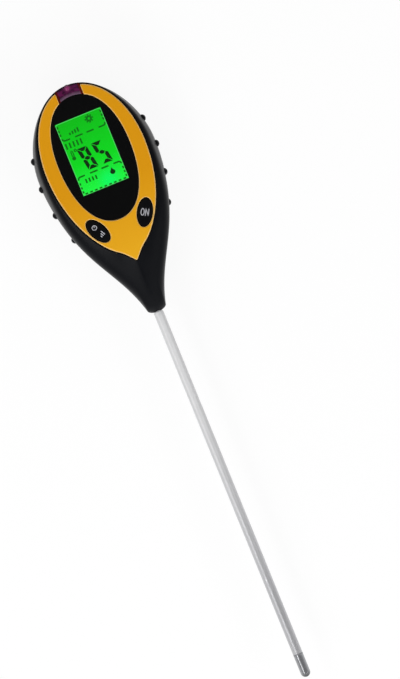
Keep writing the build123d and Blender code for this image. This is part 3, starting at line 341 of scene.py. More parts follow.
def plate(outline, low, high):
    """A thin plate: a closed outline (n, 2), counter-clockwise, at a lower and an upper level."""
    outline = np.asarray(outline, float)
    step = np.roll(outline, -1, axis=0)
    if np.sum(outline[:, 0] * step[:, 1] - step[:, 0] * outline[:, 1]) < 0:
        outline = outline[::-1]
    count = len(outline)
    levels = np.repeat((low, high), count)[:, None]
    points = np.hstack((np.vstack((outline, outline)), levels))
    here = np.arange(count)
    there = (here + 1) % count
    sides = np.stack((here, there, there + count, here + count), axis=1)
    return points, [here[::-1].tolist(), (here + count).tolist(), *sides.tolist()]


def line(path, width, low, high, closed=False):
    """A flat line: a rectangle as wide as the line carried along a path (n, 2), square to its direction."""
    path = np.asarray(path, float)
    if closed:
        ahead = np.roll(path, -1, axis=0) - np.roll(path, 1, axis=0)
    else:
        ahead = np.gradient(path, axis=0)
    ahead /= np.linalg.norm(ahead, axis=1, keepdims=True)
    side = np.stack((-ahead[:, 1], ahead[:, 0]), axis=1) * width / 2
    corners = np.stack((path - side, path + side, path + side, path - side), axis=1)
    levels = np.broadcast_to(np.array((low, low, high, high))[None, :, None], (len(path), 4, 1))
    points = np.concatenate((corners, levels), axis=2).reshape(-1, 3)
    count = len(path)
    rows = np.arange(count if closed else count - 1)
    here = rows[:, None] * 4 + np.arange(4)
    there = ((rows[:, None] + 1) % count) * 4 + np.arange(4)
    walls = np.stack((here, there, np.roll(there, -1, axis=1), np.roll(here, -1, axis=1)), axis=2)
    faces = walls.reshape(-1, 4)[:, ::-1].tolist()
    if not closed:
        faces += [[0, 1, 2, 3], [4 * count - 1, 4 * count - 2, 4 * count - 3, 4 * count - 4]]
    return points, faces


def ring(middle, radius, squeeze=1.0):
    """Points of an ellipse: the sine of an even sweep upwards and its cosine, squeezed, sideways."""
    sweep = np.linspace(0, 2 * np.pi, RING_STEPS, endpoint=False)
    across = middle[0] + squeeze * radius * np.cos(sweep)
    return np.stack((across, middle[1] + radius * np.sin(sweep)), axis=1)


def corner(middle, radius, start):
    """Points of a quarter circle from a start angle in degrees."""
    sweep = np.radians(np.linspace(start, start + 90, ARC_STEPS))
    return np.stack((middle[0] + radius * np.cos(sweep), middle[1] + radius * np.sin(sweep)), axis=1)


def drop(middle, radius):
    """A drop's outline: a circle whose upper half narrows by its height squared and rises by it cubed."""
    points = ring((0, 0), 1.0)
    height = np.clip(points[:, 1], 0, 1)
    points[:, 0] *= 1 - height ** 2
    points[:, 1] += 0.9 * height ** 3
    return np.asarray(middle) + radius * points


def join(name, parts, material, body, shift=(0, 0), turn=0.0):
    """One object from several parts, turned about the upright axis and shifted, riding on a body."""
    points, faces, count = [], [], 0
    for part_points, part_faces in parts:
        points.append(part_points)
        faces += [[index + count for index in face] for face in part_faces]
        count += len(part_points)
    points = np.vstack(points)
    spin = np.array(((math.cos(turn), -math.sin(turn)), (math.sin(turn), math.cos(turn))))
    points[:, :2] = points[:, :2] @ spin.T + np.asarray(shift)
    mesh = bpy.data.meshes.new(name)
    mesh.from_pydata(points.tolist(), [], faces)
    mesh.materials.append(material)
    mesh.update()
    piece = bpy.data.objects.new(name, mesh)
    bpy.context.scene.collection.objects.link(piece)
    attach(piece, body)
    return piece


def digit_bars(width, height, stroke, gap):
    """Outlines of a digit's seven bars about its middle, named a to g from the top round to the middle."""
    x, y, w, g = width / 2, height / 2, stroke, gap / 2
    top = np.array(((-x + g, y), (x - g, y), (x - w - g, y - w), (-x + w + g, y - w)))
    side = np.array(((-x, y - g), (-x + w, y - w - g), (-x + w, w / 2 + g), (-x + w / 2, g), (-x, g + w / 4)))
    point, flat = x - w / 2 - g, x - w - g
    middle = np.array(
        ((-point, 0), (-flat, w / 2), (flat, w / 2), (point, 0), (flat, -w / 2), (-flat, -w / 2))
    )
    flip_x, flip_y = np.array((-1, 1)), np.array((1, -1))
    return {
        "a": top, "b": side * flip_x, "c": side * flip_x * flip_y, "d": top * flip_y,
        "e": side * flip_y, "f": side, "g": middle,
    }


# Pieces


class SOILMETER_OT_casing(Operator):
    """Finish the casing's halves, the battery door and the screws"""

    bl_idname = "soilmeter.casing"
    bl_label = "Casing"

    # Outline of the door's arrow from its point, in millimetres, and the point's place below the upper edge
    ARROW = ((0, 0), (-3.6, -4.2), (-1.3, -4.2), (-1.3, -9.0), (1.3, -9.0), (1.3, -4.2), (3.6, -4.2))
    ARROW_BACK = 17 * MM
    ARROW_PROUD = 0.15 * MM
    ARROW_SUNK = 0.1 * MM

    def execute(self, context):
        looks = context.scene.soilmeter_casing
        plastic = moulded("casing_plastic", looks.casing, 0.36, 0.35 * MM, 0.01 * MM, level=0.12)
        dress(plastic, "front_shell", "rear_shell", "battery_door")
        steel = moulded("screw_steel", (0.45, 0.45, 0.46), 0.35, 0.2 * MM, 0.01 * MM, metal=1.0)
        dress(steel, "case_screws", "board_screws")
        foam = moulded("pad_foam", (0.03, 0.03, 0.032), 0.95, 0.5 * MM, 0.2 * MM, level=0.1)
        dress(foam, "door_pad")
        low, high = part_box("battery_door")
        outline = np.array((0, high.y - self.ARROW_BACK)) + np.array(self.ARROW) * MM
        arrow = plate(outline, low.z - self.ARROW_PROUD, low.z + self.ARROW_SUNK)
        join("door_arrow", [arrow], plastic, "door")
        return {"FINISHED"}


class SOILMETER_OT_front(Operator):
    """Finish the bezel, the window and the print behind it"""

    bl_idname = "soilmeter.front"
    bl_label = "Front"

    # Rise of the normal where the bezel's edge starts to round, and where it counts as round, for the painted
    # highlight on the edges
    EDGE = (0.985, 0.80)

    def execute(self, context):
        looks = context.scene.soilmeter_casing
        low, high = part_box("bezel")
        material, tree, shader = new_material("bezel_plastic")
        slope = along(tree, "Y", low.y, high.y)
        # Painted light and shade: darker yellow towards the crown, paler towards the neck
        face = ramp(tree, slope, ((0.0, looks.bezel_low_lit), (0.45, looks.bezel_top_shaded)))
        # Painted highlight: the rounded edges go over to a paler yellow
        colour = pick(tree, lean(tree, *self.EDGE), face, looks.bezel_edge_highlight)
        tree.links.new(colour, shader.inputs["Base Color"])
        fine = speckle(tree, 0.3 * MM)
        tree.links.new(spread(tree, fine, 0.32, 0.42), shader.inputs["Roughness"])
        shader.inputs["Specular IOR Level"].default_value = 0.2
        shader.inputs["Coat Weight"].default_value = 0.15
        shader.inputs["Coat Roughness"].default_value = 0.15
        bump = add_node(tree, "ShaderNodeBump", {"Strength": 0.2, "Distance": 0.01 * MM})
        tree.links.new(fine, bump.inputs["Height"])
        tree.links.new(bump.outputs["Normal"], shader.inputs["Normal"])
        dress(material, "bezel")

        clear, tree, shader = new_material("clear_window")
        shader.inputs["Base Color"].default_value = (0.97, 0.98, 0.98, 1)
        tree.links.new(spread(tree, speckle(tree, 2 * MM), 0.015, 0.04), shader.inputs["Roughness"])
        shader.inputs["Transmission Weight"].default_value = 1.0
        shader.inputs["IOR"].default_value = 1.45
        dress(clear, "display_window")
        dress(moulded("mask_print", looks.mask, 0.7, 0.2 * MM, 0.005 * MM, level=0.2), "window_mask")
        return {"FINISHED"}


class SOILMETER_OT_display(Operator):
    """Light the display and draw its digits, frames and small marks"""

    bl_idname = "soilmeter.display"
    bl_label = "Display"

    # Each digit's place across, in millimetres, and its lit bars; then how far they sit below the middle
    DIGITS = ((-3.2, "abcdefg"), (4.7, "acdfg"))
    DIGIT_DROP = 2.0 * MM
    DROP = (6.0 * MM, -13.2 * MM)
    DROP_RADIUS = 1.35 * MM
    # The backlight's lamp: its place from the middle of the lower end, both ways, and its reach
    LAMP_SHIFT = 3 * MM
    LAMP_REACH = 8 * MM
    BORDER_BEND = 0.8 * MM
    # Level of each field's long line, in millimetres, and the way that the field goes from it
    FIELDS = ((10.2, 1), (-9.7, -1))
    FIELD_EDGE = 0.7 * MM
    FIELD_BEND = 1.4 * MM
    FIELD_FOOT = 2.5 * MM
    DASHES = ((-5.0, -0.9), (1.2, 5.1))
    SIDE_DASHES = (0.32, 0.56, 0.80)
    SIDE_DASH = 1.2 * MM
    END_DASHES = np.arange(-4, 5) * 2.6 * MM
    END_DASH = 1.4 * MM
    # The sun, the thermometer and the degree ring
    SUN = np.array((4.9, 16.2)) * MM
    SUN_RADIUS = 1.1 * MM
    SUN_RAY = (1.6 * MM, 2.2 * MM)
    BULB = np.array((-9.6, 0.2)) * MM
    BULB_RADIUS = 1.0 * MM
    STEM = np.array(((0.45, 0.9), (0.45, 3.6), (0, 4.1), (-0.45, 3.6), (-0.45, 0.9))) * MM
    DEGREE = (-7.6 * MM, 3.8 * MM)
    DEGREE_RADIUS = 0.55 * MM
    # Rows of level bars, in millimetres: the first bar's place across, the foot, the heights and the pitch
    ROWS = (
        (-6.9, 12.0, (1.2, 1.6, 2.0, 2.4), 1.5),
        (-11.0, 5.6, (3.0, 3.0, 3.0, 3.0, 3.0), 2.0),
        (-8.2, -13.8, (2.2, 2.2, 2.2, 2.2), 1.8),
    )

    def execute(self, context):
        looks = context.scene.soilmeter_display
        low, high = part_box("lcd_glass")
        middle = ((low.x + high.x) / 2, (low.y + high.y) / 2)
        half_w = (high.x - low.x) / 2 - GLASS_MARGIN
        half_h = (high.y - low.y) / 2 - GLASS_MARGIN
        base, top = high.z, high.z + 2 * PRINT

        glow, tree, shader = new_material("display_glow")
        rise = along(tree, "Y", middle[1] - half_h, middle[1] + half_h)
        colour = ramp(tree, rise, ((0.0, looks.glow_low), (0.4, looks.glow_middle), (1.0, looks.glow_top)))
        lamp = (middle[0] + self.LAMP_SHIFT, middle[1] - half_h + self.LAMP_SHIFT, high.z)
        colour = pick(tree, near(tree, lamp, self.LAMP_REACH), colour, looks.glow_lamp)
        tree.links.new(colour, shader.inputs["Emission Color"])
        shader.inputs["Emission Strength"].default_value = 1.0
        shader.inputs["Base Color"].default_value = (0.0, 0.02, 0.002, 1)
        shader.inputs["Specular IOR Level"].default_value = 0.0
        tree.links.new(spread(tree, speckle(tree, 1.5 * MM), 0.2, 0.3), shader.inputs["Roughness"])
        dress(glow, "lcd_glass")

        ink = self.ink("display_dark", looks.dark)
        bars = digit_bars(looks.digit_width, looks.digit_height, looks.digit_stroke, looks.digit_gap)
        parts = []
        for place, names in self.DIGITS:
            for name in names:
                bar = bars[name].copy()
                bar[:, 0] += looks.slant * bar[:, 1] + place * MM
                bar[:, 1] -= self.DIGIT_DROP
                parts.append(plate(bar, base, top))
        parts.append(plate(drop(self.DROP, self.DROP_RADIUS), base, top))
        join("display_digits", parts, ink, "casing", middle)

        faint = self.ink("display_faint", looks.faint)
        parts = self.frames(looks.line_width, half_w, half_h, base, top)
        parts += self.marks(looks.mark_width, base, top)
        join("display_marks", parts, faint, "casing", middle)

        pale = self.ink("display_pale", looks.border)
        inset = looks.border_width / 2 + self.BORDER_BEND
        x, y = half_w - inset, half_h - inset
        corners = ((x, y, 0), (-x, y, 90), (-x, -y, 180), (x, -y, 270))
        path = np.vstack([corner(spot, self.BORDER_BEND, start) for *spot, start in corners])
        border = line(path, looks.border_width, base, top - PRINT / 2, closed=True)
        join("display_border", [border], pale, "casing", middle)
        return {"FINISHED"}

    def ink(self, name, colour):
        """Ink on the display, lit from behind by its own colour."""
        material, tree, shader = new_material(name)
        shade = ramp(tree, speckle(tree, 0.8 * MM), ((0.3, shaded(colour, 0.9)), (0.7, shaded(colour, 1.1))))
        tree.links.new(shade, shader.inputs["Emission Color"])
        shader.inputs["Emission Strength"].default_value = 1.0
        shader.inputs["Base Color"].default_value = (0.0, 0.01, 0.0, 1)
        shader.inputs["Specular IOR Level"].default_value = 0.0
        shader.inputs["Roughness"].default_value = 0.6
        return material

    def frames(self, width, half_w, half_h, base, top):
        """Dashed lines of the upper and the lower field, with round corners at the ends of the long ones."""
        bend = self.FIELD_BEND
        right, end_level = half_w - self.FIELD_EDGE, half_h - self.FIELD_EDGE
        parts = []
        for place, up in self.FIELDS:
            level, far = place * MM, up * end_level
            starts = (180, 270) if up > 0 else (90, 0)
            for x, start in zip((bend - right, right - bend), starts):
                arc = corner((x, level + up * bend), bend, start)
                foot = np.array(((x + math.copysign(self.FIELD_FOOT, -x), level),))
                foot_last = (arc[-1, 1] - level) * up < 1e-9
                arc = np.vstack((arc, foot) if foot_last else (foot, arc))
                parts.append(line(arc, width, base, top))
            for start, end in self.DASHES:
                parts.append(line(((start * MM, level), (end * MM, level)), width, base, top))
            for x in (-right, right):
                for share in self.SIDE_DASHES:
                    y = level + (far - level) * share
                    parts.append(line(((x, y), (x, y + up * self.SIDE_DASH)), width, base, top))
        reach = self.END_DASH / 2
        for x in self.END_DASHES:
            parts.append(line(((x - reach, -end_level), (x + reach, -end_level)), width, base, top))
        return parts

    def marks(self, width, base, top):
        """A sun, a thermometer, a degree ring and rows of level bars."""
        bold, thin, bar = width * 1.35, width * 0.8, width * 1.3
        parts = [line(ring(self.SUN, self.SUN_RADIUS), bold, base, top, closed=True)]
        for angle in np.radians(np.arange(0, 360, 45)):
            ray = np.array((math.cos(angle), math.sin(angle)))
            parts.append(line([self.SUN + ray * reach for reach in self.SUN_RAY], bold, base, top))
        parts.append(plate(ring(self.BULB, self.BULB_RADIUS), base, top))
        parts.append(line(self.BULB + self.STEM, thin, base, top))
        parts.append(line(ring(self.DEGREE, self.DEGREE_RADIUS), thin, base, top, closed=True))
        for start, foot, heights, pitch in self.ROWS:
            for index, height in enumerate(heights):
                x = (start + index * pitch) * MM
                parts.append(line(((x, foot * MM), (x, (foot + height) * MM)), bar, base, top))
        return parts


class SOILMETER_OT_sensor(Operator):
    """Finish the sensor window at the crown and the sensor behind it"""

    bl_idname = "soilmeter.sensor"
    bl_label = "Light sensor"

    # Size of the clouds in the tint, and how far the painted shade round the lens and the painted light on
    # the lens reach
    CLOUD = 2.4 * MM
    LENS_SHADE = 4.2 * MM
    LENS_LIGHT = 2.6 * MM

    def execute(self, context):
        looks = context.scene.soilmeter_casing
        low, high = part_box("sensor_window")
        material, tree, shader = new_material("sensor_tint")
        oval_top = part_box("display_window")[1].y
        bend = looks.rim_bend
        plan_gap = distance(tree, (0, oval_top - bend, 0), (1, 1, 0))
        rise = between(tree, plan_gap, bend, bend + high.y - oval_top)
        tints = ((0.34, looks.sensor_dark), (0.52, looks.sensor))
        clouds = ramp(tree, speckle(tree, self.CLOUD), tints)
        rim = ramp(tree, rise, ((0.02, WHITE), (0.30, BLACK)))
        colour = pick(tree, rim, clouds, looks.sensor_rim)
        crown = ramp(tree, rise, ((0.70, BLACK), (0.90, WHITE)))
        colour = pick(tree, crown, colour, looks.sensor_dark)
        # Painted shade in a ring round the lens, then painted light on the lens itself
        lens = (0, high.y - looks.lens_radius, high.z)
        colour = pick(tree, near(tree, lens, self.LENS_SHADE), colour, looks.sensor_dark)
        colour = pick(tree, near(tree, lens, self.LENS_LIGHT), colour, looks.sensor_lens_light)
        reach = along(tree, "X", low.x, high.x)
        ends = ramp(tree, reach, ((0.06, WHITE), (0.085, BLACK), (0.915, BLACK), (0.94, WHITE)))
        colour = pick(tree, ends, colour, looks.sensor_end)
        tree.links.new(colour, shader.inputs["Base Color"])
        tree.links.new(spread(tree, speckle(tree, 0.6 * MM), 0.08, 0.16), shader.inputs["Roughness"])
        shader.inputs["Transmission Weight"].default_value = 0.25
        shader.inputs["IOR"].default_value = 1.45
        dress(material, "sensor_window")
        dress(moulded("sensor_epoxy", (0.30, 0.30, 0.32), 0.2, 0.4 * MM, 0.01 * MM), "light_sensor")
        return {"FINISHED"}


class SOILMETER_OT_keys(Operator):
    """Finish the rubber keys and print their marks"""

    bl_idname = "soilmeter.keys"
    bl_label = "Keys"

    # Lean of each key away from the middle
    TILT = math.radians(28)

    def execute(self, context):
        looks = context.scene.soilmeter_casing
        rubber = moulded("key_rubber", looks.key, 0.45, 0.25 * MM, 0.02 * MM, level=0.05)
        dress(rubber, "power_button", "mode_button")
        carbon = moulded("pill_carbon", (0.008, 0.008, 0.008), 0.7, 0.2 * MM, 0.01 * MM)
        dress(carbon, "power_contact", "mode_contact")
        silicone = moulded("mat_rubber", (0.25, 0.25, 0.26), 0.7, 0.3 * MM, 0.01 * MM)
        dress(silicone, "keypad_mat")
        ink = moulded("key_ink", looks.key_ink, 0.6, 0.15 * MM, 0.005 * MM)
        for name, side, parts in (("power", 1, self.on_mark), ("mode", -1, self.mode_mark)):
            low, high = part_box(f"{name}_button")
            spot = ((low.x + high.x) / 2, (low.y + high.y) / 2)
            base, top = high.z - PRINT / 2, high.z + PRINT
            join(f"{name}_mark", parts(base, top), ink, f"{name}_key", spot, -side * self.TILT)
            self.dome(name, looks, silicone)
        return {"FINISHED"}

    def dome(self, name, looks, silicone):
        """A rubber dome under its key: a wall carried round, its radius easing from foot to top."""
        low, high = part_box(f"{name}_dome")
        foot, tall = (high.x - low.x) / 2, high.z - low.z
        rise = np.linspace(0, 1, DOME_STEPS)
        outer = foot + (looks.dome_top - foot) * rise ** 2 * (3 - 2 * rise)
        level = low.z + PRINT / 2 + (tall - PRINT) * rise
        radius = np.concatenate((outer, outer[::-1] - looks.dome_wall))
        level = np.concatenate((level, level[::-1]))
        turn = np.linspace(0, 2 * np.pi, RING_STEPS, endpoint=False)[:, None]
        points = np.stack(np.broadcast_arrays(radius * np.cos(turn), radius * np.sin(turn), level), axis=2)
        count = len(radius)
        row, column = np.meshgrid(np.arange(RING_STEPS), np.arange(count), indexing="ij")
        next_row, next_column = (row + 1) % RING_STEPS, (column + 1) % count
        corners = (
            row * count + column,
            next_row * count + column,
            next_row * count + next_column,
            row * count + next_column,
        )
        parts = [(points.reshape(-1, 3), np.stack(corners, axis=2).reshape(-1, 4).tolist())]
        spot = ((low.x + high.x) / 2, (low.y + high.y) / 2)
        piece = join(f"{name}_dome_rubber", parts, silicone, "casing", spot)
        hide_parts(f"{name}_dome")
        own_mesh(piece)

    def on_mark(self, base, top):
        """The word for switching on: a tall ring and three straight strokes."""
        width, tall, wide = 0.42 * MM, 3.4 * MM, 1.6 * MM
        round_part = ring((-1.15 * MM, 0), tall / 2, wide / tall)
        left, right, low, high = 0.35 * MM, 1.9 * MM, -tall / 2 - width / 2, tall / 2 + width / 2
        strokes = (
            ((left, low), (left, high)),
            ((left, high), (right, low)),
            ((right, low), (right, high)),
        )
        parts = [line(round_part, width, base, top, closed=True)]
        parts += [line(stroke, width, base, top) for stroke in strokes]
        return parts

    def mode_mark(self, base, top):
        """A ring with a pointer and, beside it, rising level bars."""
        width, bar = 0.38 * MM, 0.48 * MM
        dial, pointer = np.array((0, 2.5)) * MM, np.array((0.6, 0.7)) * MM
        parts = [line(ring(dial, 1.15 * MM), width, base, top, closed=True)]
        parts.append(line((dial, dial + pointer), width, base, top))
        foot = -3.6
        for x, height in ((-0.95, 1.0), (0.0, 1.8), (0.95, 2.6)):
            parts.append(line(((x * MM, foot * MM), (x * MM, (foot + height) * MM)), bar, base, top))
        return parts


class SOILMETER_OT_probe(Operator):
    """Finish the probe's tube, ring and tip"""

    bl_idname = "soilmeter.probe"
    bl_label = "Probe"

    def execute(self, context):
        looks = context.scene.soilmeter_probe
        low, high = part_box("probe_tube")
        satin, tree, shader = new_material("probe_steel")
        slope = along(tree, "Y", low.y, high.y)
        brushed = speckle(tree, 0.25 * MM, (1, 0.01, 1))
        drawn = speckle(tree, 1.1 * MM, (1, 0.004, 1))
        # Painted shade: greyer metal towards the lower end
        metal = ramp(tree, slope, ((0.15, looks.tube_low_shaded), (0.75, looks.tube)))
        lines = ramp(tree, drawn, ((0.35, (0.86, 0.86, 0.86)), (0.65, WHITE)))
        tree.links.new(self.times(tree, metal, lines), shader.inputs["Base Color"])
        tree.links.new(spread(tree, brushed, 0.38, 0.48), shader.inputs["Roughness"])
        bump = add_node(tree, "ShaderNodeBump", {"Strength": 0.05, "Distance": 0.002 * MM})
        tree.links.new(brushed, bump.inputs["Height"])
        tree.links.new(bump.outputs["Normal"], shader.inputs["Normal"])
        # More metal towards the lower end, so that this stretch mirrors the lamps more
        span = high.y - low.y
        up_the_tube = along(tree, "Y", low.y + 0.1 * span, low.y + 0.6 * span)
        tree.links.new(spread(tree, up_the_tube, 0.6, 0.15), shader.inputs["Metallic"])
        shader.inputs["Specular IOR Level"].default_value = 0.15
        dress(satin, "probe_tube")
        polished = {"metal": 0.75, "vary": 0.05, "stretch": (1, 0.02, 1)}
        tip = moulded("tip_metal", looks.tip, 0.29, 0.3 * MM, 0.002 * MM, **polished)
        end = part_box("probe_tip")[0].y
        # Painted shade: the tip goes over to near black at its round end
        fade(tip, looks.tip_end_shade, "Y", end + looks.end_shade_reach, end)
        dress(tip, "probe_tip")
        # Name, colour, roughness, depth of the grain in millimetres, metal and node
        plain = (
            ("insulation", looks.ring, 0.5, 0.010, 0.0, "probe_insulator"),
            ("core_metal", (0.60, 0.38, 0.18), 0.3, 0.004, 1.0, "probe_core"),
            ("collar_brass", (0.65, 0.45, 0.16), 0.3, 0.010, 1.0, "probe_collar"),
            ("seal_rubber", (0.01, 0.01, 0.01), 0.6, 0.010, 0.0, "neck_seal"),
            ("bead_epoxy", (0.02, 0.02, 0.03), 0.3, 0.010, 0.0, "temperature_sensor"),
        )
        for name, colour, rough, depth, metal, node in plain:
            dress(moulded(name, colour, rough, 0.2 * MM, depth * MM, metal=metal), node)
        return {"FINISHED"}

    def times(self, tree, first, second):
        """Two colours multiplied."""
        node = add_node(tree, "ShaderNodeMix", {0: 1.0}, data_type="RGBA", blend_type="MULTIPLY")
        tree.links.new(first, node.inputs[6])
        tree.links.new(second, node.inputs[7])
        return node.outputs[2]


class SOILMETER_OT_inside(Operator):
    """Finish the board, the display's carrier and the battery"""

    bl_idname = "soilmeter.inside"
    bl_label = "Inside"

    def execute(self, context):
        # Name, colour, roughness, metal and nodes
        plain = (
            ("board_green", (0.01, 0.12, 0.04), 0.4, 0.0, ("main_board",)),
            ("chip_black", (0.01, 0.01, 0.011), 0.5, 0.0, ("controller_chip",)),
            ("part_cases", (0.05, 0.05, 0.06), 0.4, 0.0, ("board_parts",)),
            ("contact_metal", (0.70, 0.50, 0.18), 0.25, 1.0, ("contact_pads",)),
            ("frame_plastic", (0.012, 0.012, 0.013), 0.6, 0.0, ("lcd_frame",)),
            ("light_guide", (0.75, 0.80, 0.75), 0.3, 0.0, ("backlight_panel",)),
            ("led_case", (0.80, 0.80, 0.70), 0.3, 0.0, ("backlight_led",)),
            ("strip_rubber", (0.45, 0.12, 0.12), 0.7, 0.0, ("zebra_strips",)),
            ("terminal_metal", (0.60, 0.60, 0.60), 0.3, 1.0, ("battery_terminals",)),
            ("snap_plastic", (0.015, 0.015, 0.016), 0.5, 0.0, ("battery_snap",)),
            ("lead_cover", (0.10, 0.01, 0.01), 0.45, 0.0, ("battery_leads", "probe_leads")),
        )
        for name, colour, rough, metal, nodes in plain:
            dress(moulded(name, colour, rough, 0.25 * MM, 0.01 * MM, metal=metal), *nodes)
        self.battery(context.scene.soilmeter_casing)
        return {"FINISHED"}

    def battery(self, looks):
        """A graphite wrap with a pale band by the terminals, and a plus and a minus beside them."""
        low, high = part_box("battery")
        wrap, tree, shader = new_material("battery_can")
        reach = along(tree, "Y", low.y, high.y)
        graphite, band = tuple(looks.battery_wrap), tuple(looks.battery_band)
        stops = (
            (0.70, graphite), (0.705, band), (0.715, band), (0.72, graphite), (0.74, graphite), (0.745, band),
        )
        tree.links.new(ramp(tree, reach, stops), shader.inputs["Base Color"])
        tree.links.new(spread(tree, speckle(tree, 0.6 * MM), 0.26, 0.36), shader.inputs["Roughness"])
        shader.inputs["Metallic"].default_value = 0.35
        dress(wrap, "battery")
        ink = moulded("battery_ink", shaded(graphite, 0.6), 0.5, 0.2 * MM, 0.005 * MM)
        arm, width, side, level = 1.9 * MM, 0.9 * MM, 6.4 * MM, high.y - 5 * MM
        base, top = low.z - PRINT, low.z + PRINT / 2
        plus, minus = np.array((-side, level)), np.array((side, level))
        across, upright = np.array((arm, 0)), np.array((0, arm))
        parts = [
            line((plus - across, plus + across), width, base, top),
            line((plus - upright, plus + upright), width, base, top),
            line((minus - across, minus + across), width, base, top),
        ]
        join("battery_marks", parts, ink, "casing")


class SOILMETER_OT_stage(Operator):
    """Lay the pale floor, set the soft light and place the camera"""

    bl_idname = "soilmeter.stage"
    bl_label = "Stage"

    # In metres, apart from the film's width, which is in millimetres
    FLOOR_HALF = 12.0
    FLOOR_DROP = 0.1 * MM
    LAMP_LENGTH = 1.6
    FILM_WIDTH = 36.0
    SIGHT_END = 50.0

    def execute(self, context):
        looks = context.scene.soilmeter_stage
        self.floor(looks)
        self.light(looks)
        self.camera(looks)
        context.scene.view_settings.view_transform = "Standard"
        return {"FINISHED"}

    def floor(self, looks):
        """A wide square, nearly white to the eye, that keeps the object's shadow and is clear from below."""
        half, level = self.FLOOR_HALF, CAD_BOX[0].z - self.FLOOR_DROP
        mesh = bpy.data.meshes.new("floor")
        points = [(-half, -half, level), (half, -half, level), (half, half, level), (-half, half, level)]
        mesh.from_pydata(points, [], [(0, 1, 2, 3)])
        material = bpy.data.materials.new("floor_paper")
        material.use_nodes = True
        tree = material.node_tree
        tree.nodes.clear()
        bounce = add_node(tree, "ShaderNodeBsdfDiffuse", {"Color": (*looks.floor, 1)})
        paper = add_node(tree, "ShaderNodeBsdfDiffuse", {"Color": (*looks.paper, 1)})
        white = add_node(tree, "ShaderNodeEmission", {"Color": (*WHITE, 1), "Strength": 1.0})
        pale = add_node(tree, "ShaderNodeMixShader", {0: looks.floor_white})
        tree.links.new(paper.outputs[0], pale.inputs[1])
        tree.links.new(white.outputs[0], pale.inputs[2])
        clear = add_node(tree, "ShaderNodeBsdfTransparent")
        rays = add_node(tree, "ShaderNodeLightPath")
        under = add_node(tree, "ShaderNodeNewGeometry").outputs["Backfacing"]
        through = self.reckon(tree, "MAXIMUM", under, rays.outputs["Transparent Depth"])
        top = self.blend(tree, self.seen(tree, rays), bounce, pale)
        both = self.blend(tree, self.reckon(tree, "MINIMUM", through, 1.0), top, clear)
        output = add_node(tree, "ShaderNodeOutputMaterial")
        tree.links.new(both.outputs[0], output.inputs["Surface"])
        mesh.materials.append(material)
        floor = bpy.data.objects.new("floor", mesh)
        bpy.context.scene.collection.objects.link(floor)

    def reckon(self, tree, operation, first, second):
        """One sum of two values; the second may be a plain number."""
        node = add_node(tree, "ShaderNodeMath", operation=operation)
        tree.links.new(first, node.inputs[0])
        if isinstance(second, float):
            node.inputs[1].default_value = second
        else:
            tree.links.new(second, node.inputs[1])
        return node.outputs[0]

    def seen(self, tree, rays):
        """1 for rays to the eye, straight or by way of gloss or glass, and 0 for light on its way."""
        direct = self.reckon(tree, "MAXIMUM", rays.outputs["Is Camera Ray"], rays.outputs["Is Glossy Ray"])
        return self.reckon(tree, "MAXIMUM", direct, rays.outputs["Is Transmission Ray"])

    def blend(self, tree, share, first, second):
        """Two shaders mixed by a share."""
        mix = add_node(tree, "ShaderNodeMixShader")
        tree.links.new(share, mix.inputs[0])
        tree.links.new(first.outputs[0], mix.inputs[1])
        tree.links.new(second.outputs[0], mix.inputs[2])
        return mix

    def light(self, looks):
        """A sky with a white rim, pale at the horizon and dim above, and soft lamps on all sides."""
        world = bpy.data.worlds.new("studio")
        world.use_nodes = True
        tree = world.node_tree
        tree.nodes.clear()
        coords = add_node(tree, "ShaderNodeTexCoord")
        split = add_node(tree, "ShaderNodeSeparateXYZ")
        tree.links.new(coords.outputs["Generated"], split.inputs["Vector"])
        stops = ((0.05, WHITE), (0.10, looks.horizon), (0.30, looks.horizon), (0.80, looks.zenith))
        sky = add_node(tree, "ShaderNodeBackground", {"Strength": 1.0})
        tree.links.new(ramp(tree, split.outputs["Z"], stops), sky.inputs["Color"])
        paper = add_node(tree, "ShaderNodeBackground", {"Color": (*WHITE, 1), "Strength": 1.0})
        rays = add_node(tree, "ShaderNodeLightPath")
        below = self.reckon(tree, "MINIMUM", rays.outputs["Transparent Depth"], 1.0)
        share = self.reckon(tree, "MULTIPLY", self.seen(tree, rays), below)
        output = add_node(tree, "ShaderNodeOutputWorld")
        tree.links.new(self.blend(tree, share, sky, paper).outputs[0], output.inputs["Surface"])
        bpy.context.scene.world = world
        # Name, place, width, watts and whether gloss and glass mirror the lamp
        lamps = (
            ("lamp_left", (-1.0, -1.2, 1.3), 0.5, looks.left_power, False),
            ("lamp_right", (1.0, -1.2, 1.3), 0.5, looks.right_power, False),
            ("lamp_strip", (-0.9, 0, 1.4), 0.3, looks.strip_power, True),
            ("lamp_crown", (0, 1.6, 0.8), 0.5, looks.end_power, False),
            ("lamp_tip", (0, -1.6, 0.8), 0.5, looks.end_power, False),
        )
        for name, place, width, power, mirrored in lamps:
            data = bpy.data.lights.new(name, "AREA")
            data.shape = "RECTANGLE"
            data.size, data.size_y = self.LAMP_LENGTH, width
            data.energy = power
            lamp = bpy.data.objects.new(name, data)
            lamp.location = place
            aim = -lamp.location.normalized()
            lamp.rotation_euler = aim.to_track_quat("-Z", "Y").to_euler()
            lamp.visible_camera = False
            lamp.visible_glossy = lamp.visible_transmission = mirrored
            bpy.context.scene.collection.objects.link(lamp)

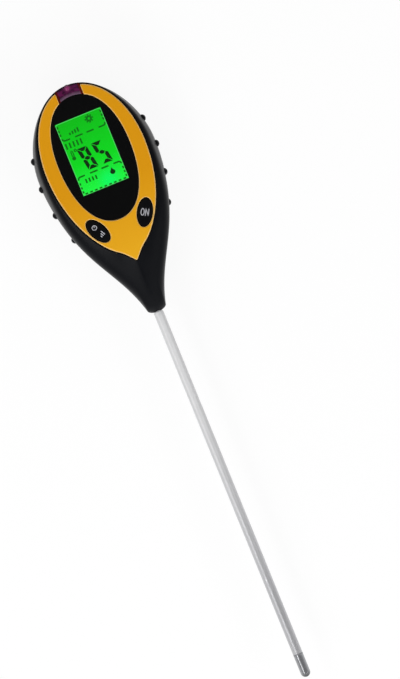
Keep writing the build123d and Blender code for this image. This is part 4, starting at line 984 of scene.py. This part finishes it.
    def camera(self, looks):
        """A long lens straight above the face, turned so that the crown leans to the left."""
        data = bpy.data.cameras.new("camera")
        data.sensor_width = self.FILM_WIDTH
        data.lens = data.sensor_width * looks.camera_height / looks.view_length
        data.clip_end = self.SIGHT_END
        camera = bpy.data.objects.new("camera", data)
        camera.location = (looks.view_x, looks.view_y, CAD_BOX[1].z + looks.camera_height)
        camera.rotation_euler = (0, 0, looks.camera_turn)
        bpy.context.scene.collection.objects.link(camera)
        bpy.context.scene.camera = camera


class SOILMETER_PT_panel(Panel):
    """Sizes, colours and steps of the soil meter's looks"""

    bl_idname = "SOILMETER_PT_panel"
    bl_label = "Soil Meter"
    bl_space_type = "VIEW_3D"
    bl_region_type = "UI"
    bl_category = "Soil Meter"

    def draw(self, context):
        for key in GROUPS:
            group = getattr(context.scene, key)
            box = self.layout.box()
            for name in group.bl_rna.properties.keys():
                if name not in ("rna_type", "name"):
                    box.prop(group, name)
        for step in STEPS:
            self.layout.operator(step.bl_idname)


GROUPS = {
    "soilmeter_casing": CasingLooks,
    "soilmeter_display": DisplayLooks,
    "soilmeter_probe": ProbeLooks,
    "soilmeter_stage": StageLooks,
}
STEPS = (
    SOILMETER_OT_casing,
    SOILMETER_OT_front,
    SOILMETER_OT_display,
    SOILMETER_OT_sensor,
    SOILMETER_OT_keys,
    SOILMETER_OT_probe,
    SOILMETER_OT_inside,
    SOILMETER_OT_stage,
)


def register():
    for cls in (*GROUPS.values(), *STEPS, SOILMETER_PT_panel):
        bpy.utils.register_class(cls)
    for key, cls in GROUPS.items():
        setattr(bpy.types.Scene, key, PointerProperty(type=cls))


def unregister():
    for key in GROUPS:
        delattr(bpy.types.Scene, key)
    for cls in (SOILMETER_PT_panel, *reversed(STEPS), *GROUPS.values()):
        bpy.utils.unregister_class(cls)


def main():
    """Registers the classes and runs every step."""
    register()
    for step in STEPS:
        area, name = step.bl_idname.split(".")
        getattr(getattr(bpy.ops, area), name)()


if __name__ == "__main__":
    main()
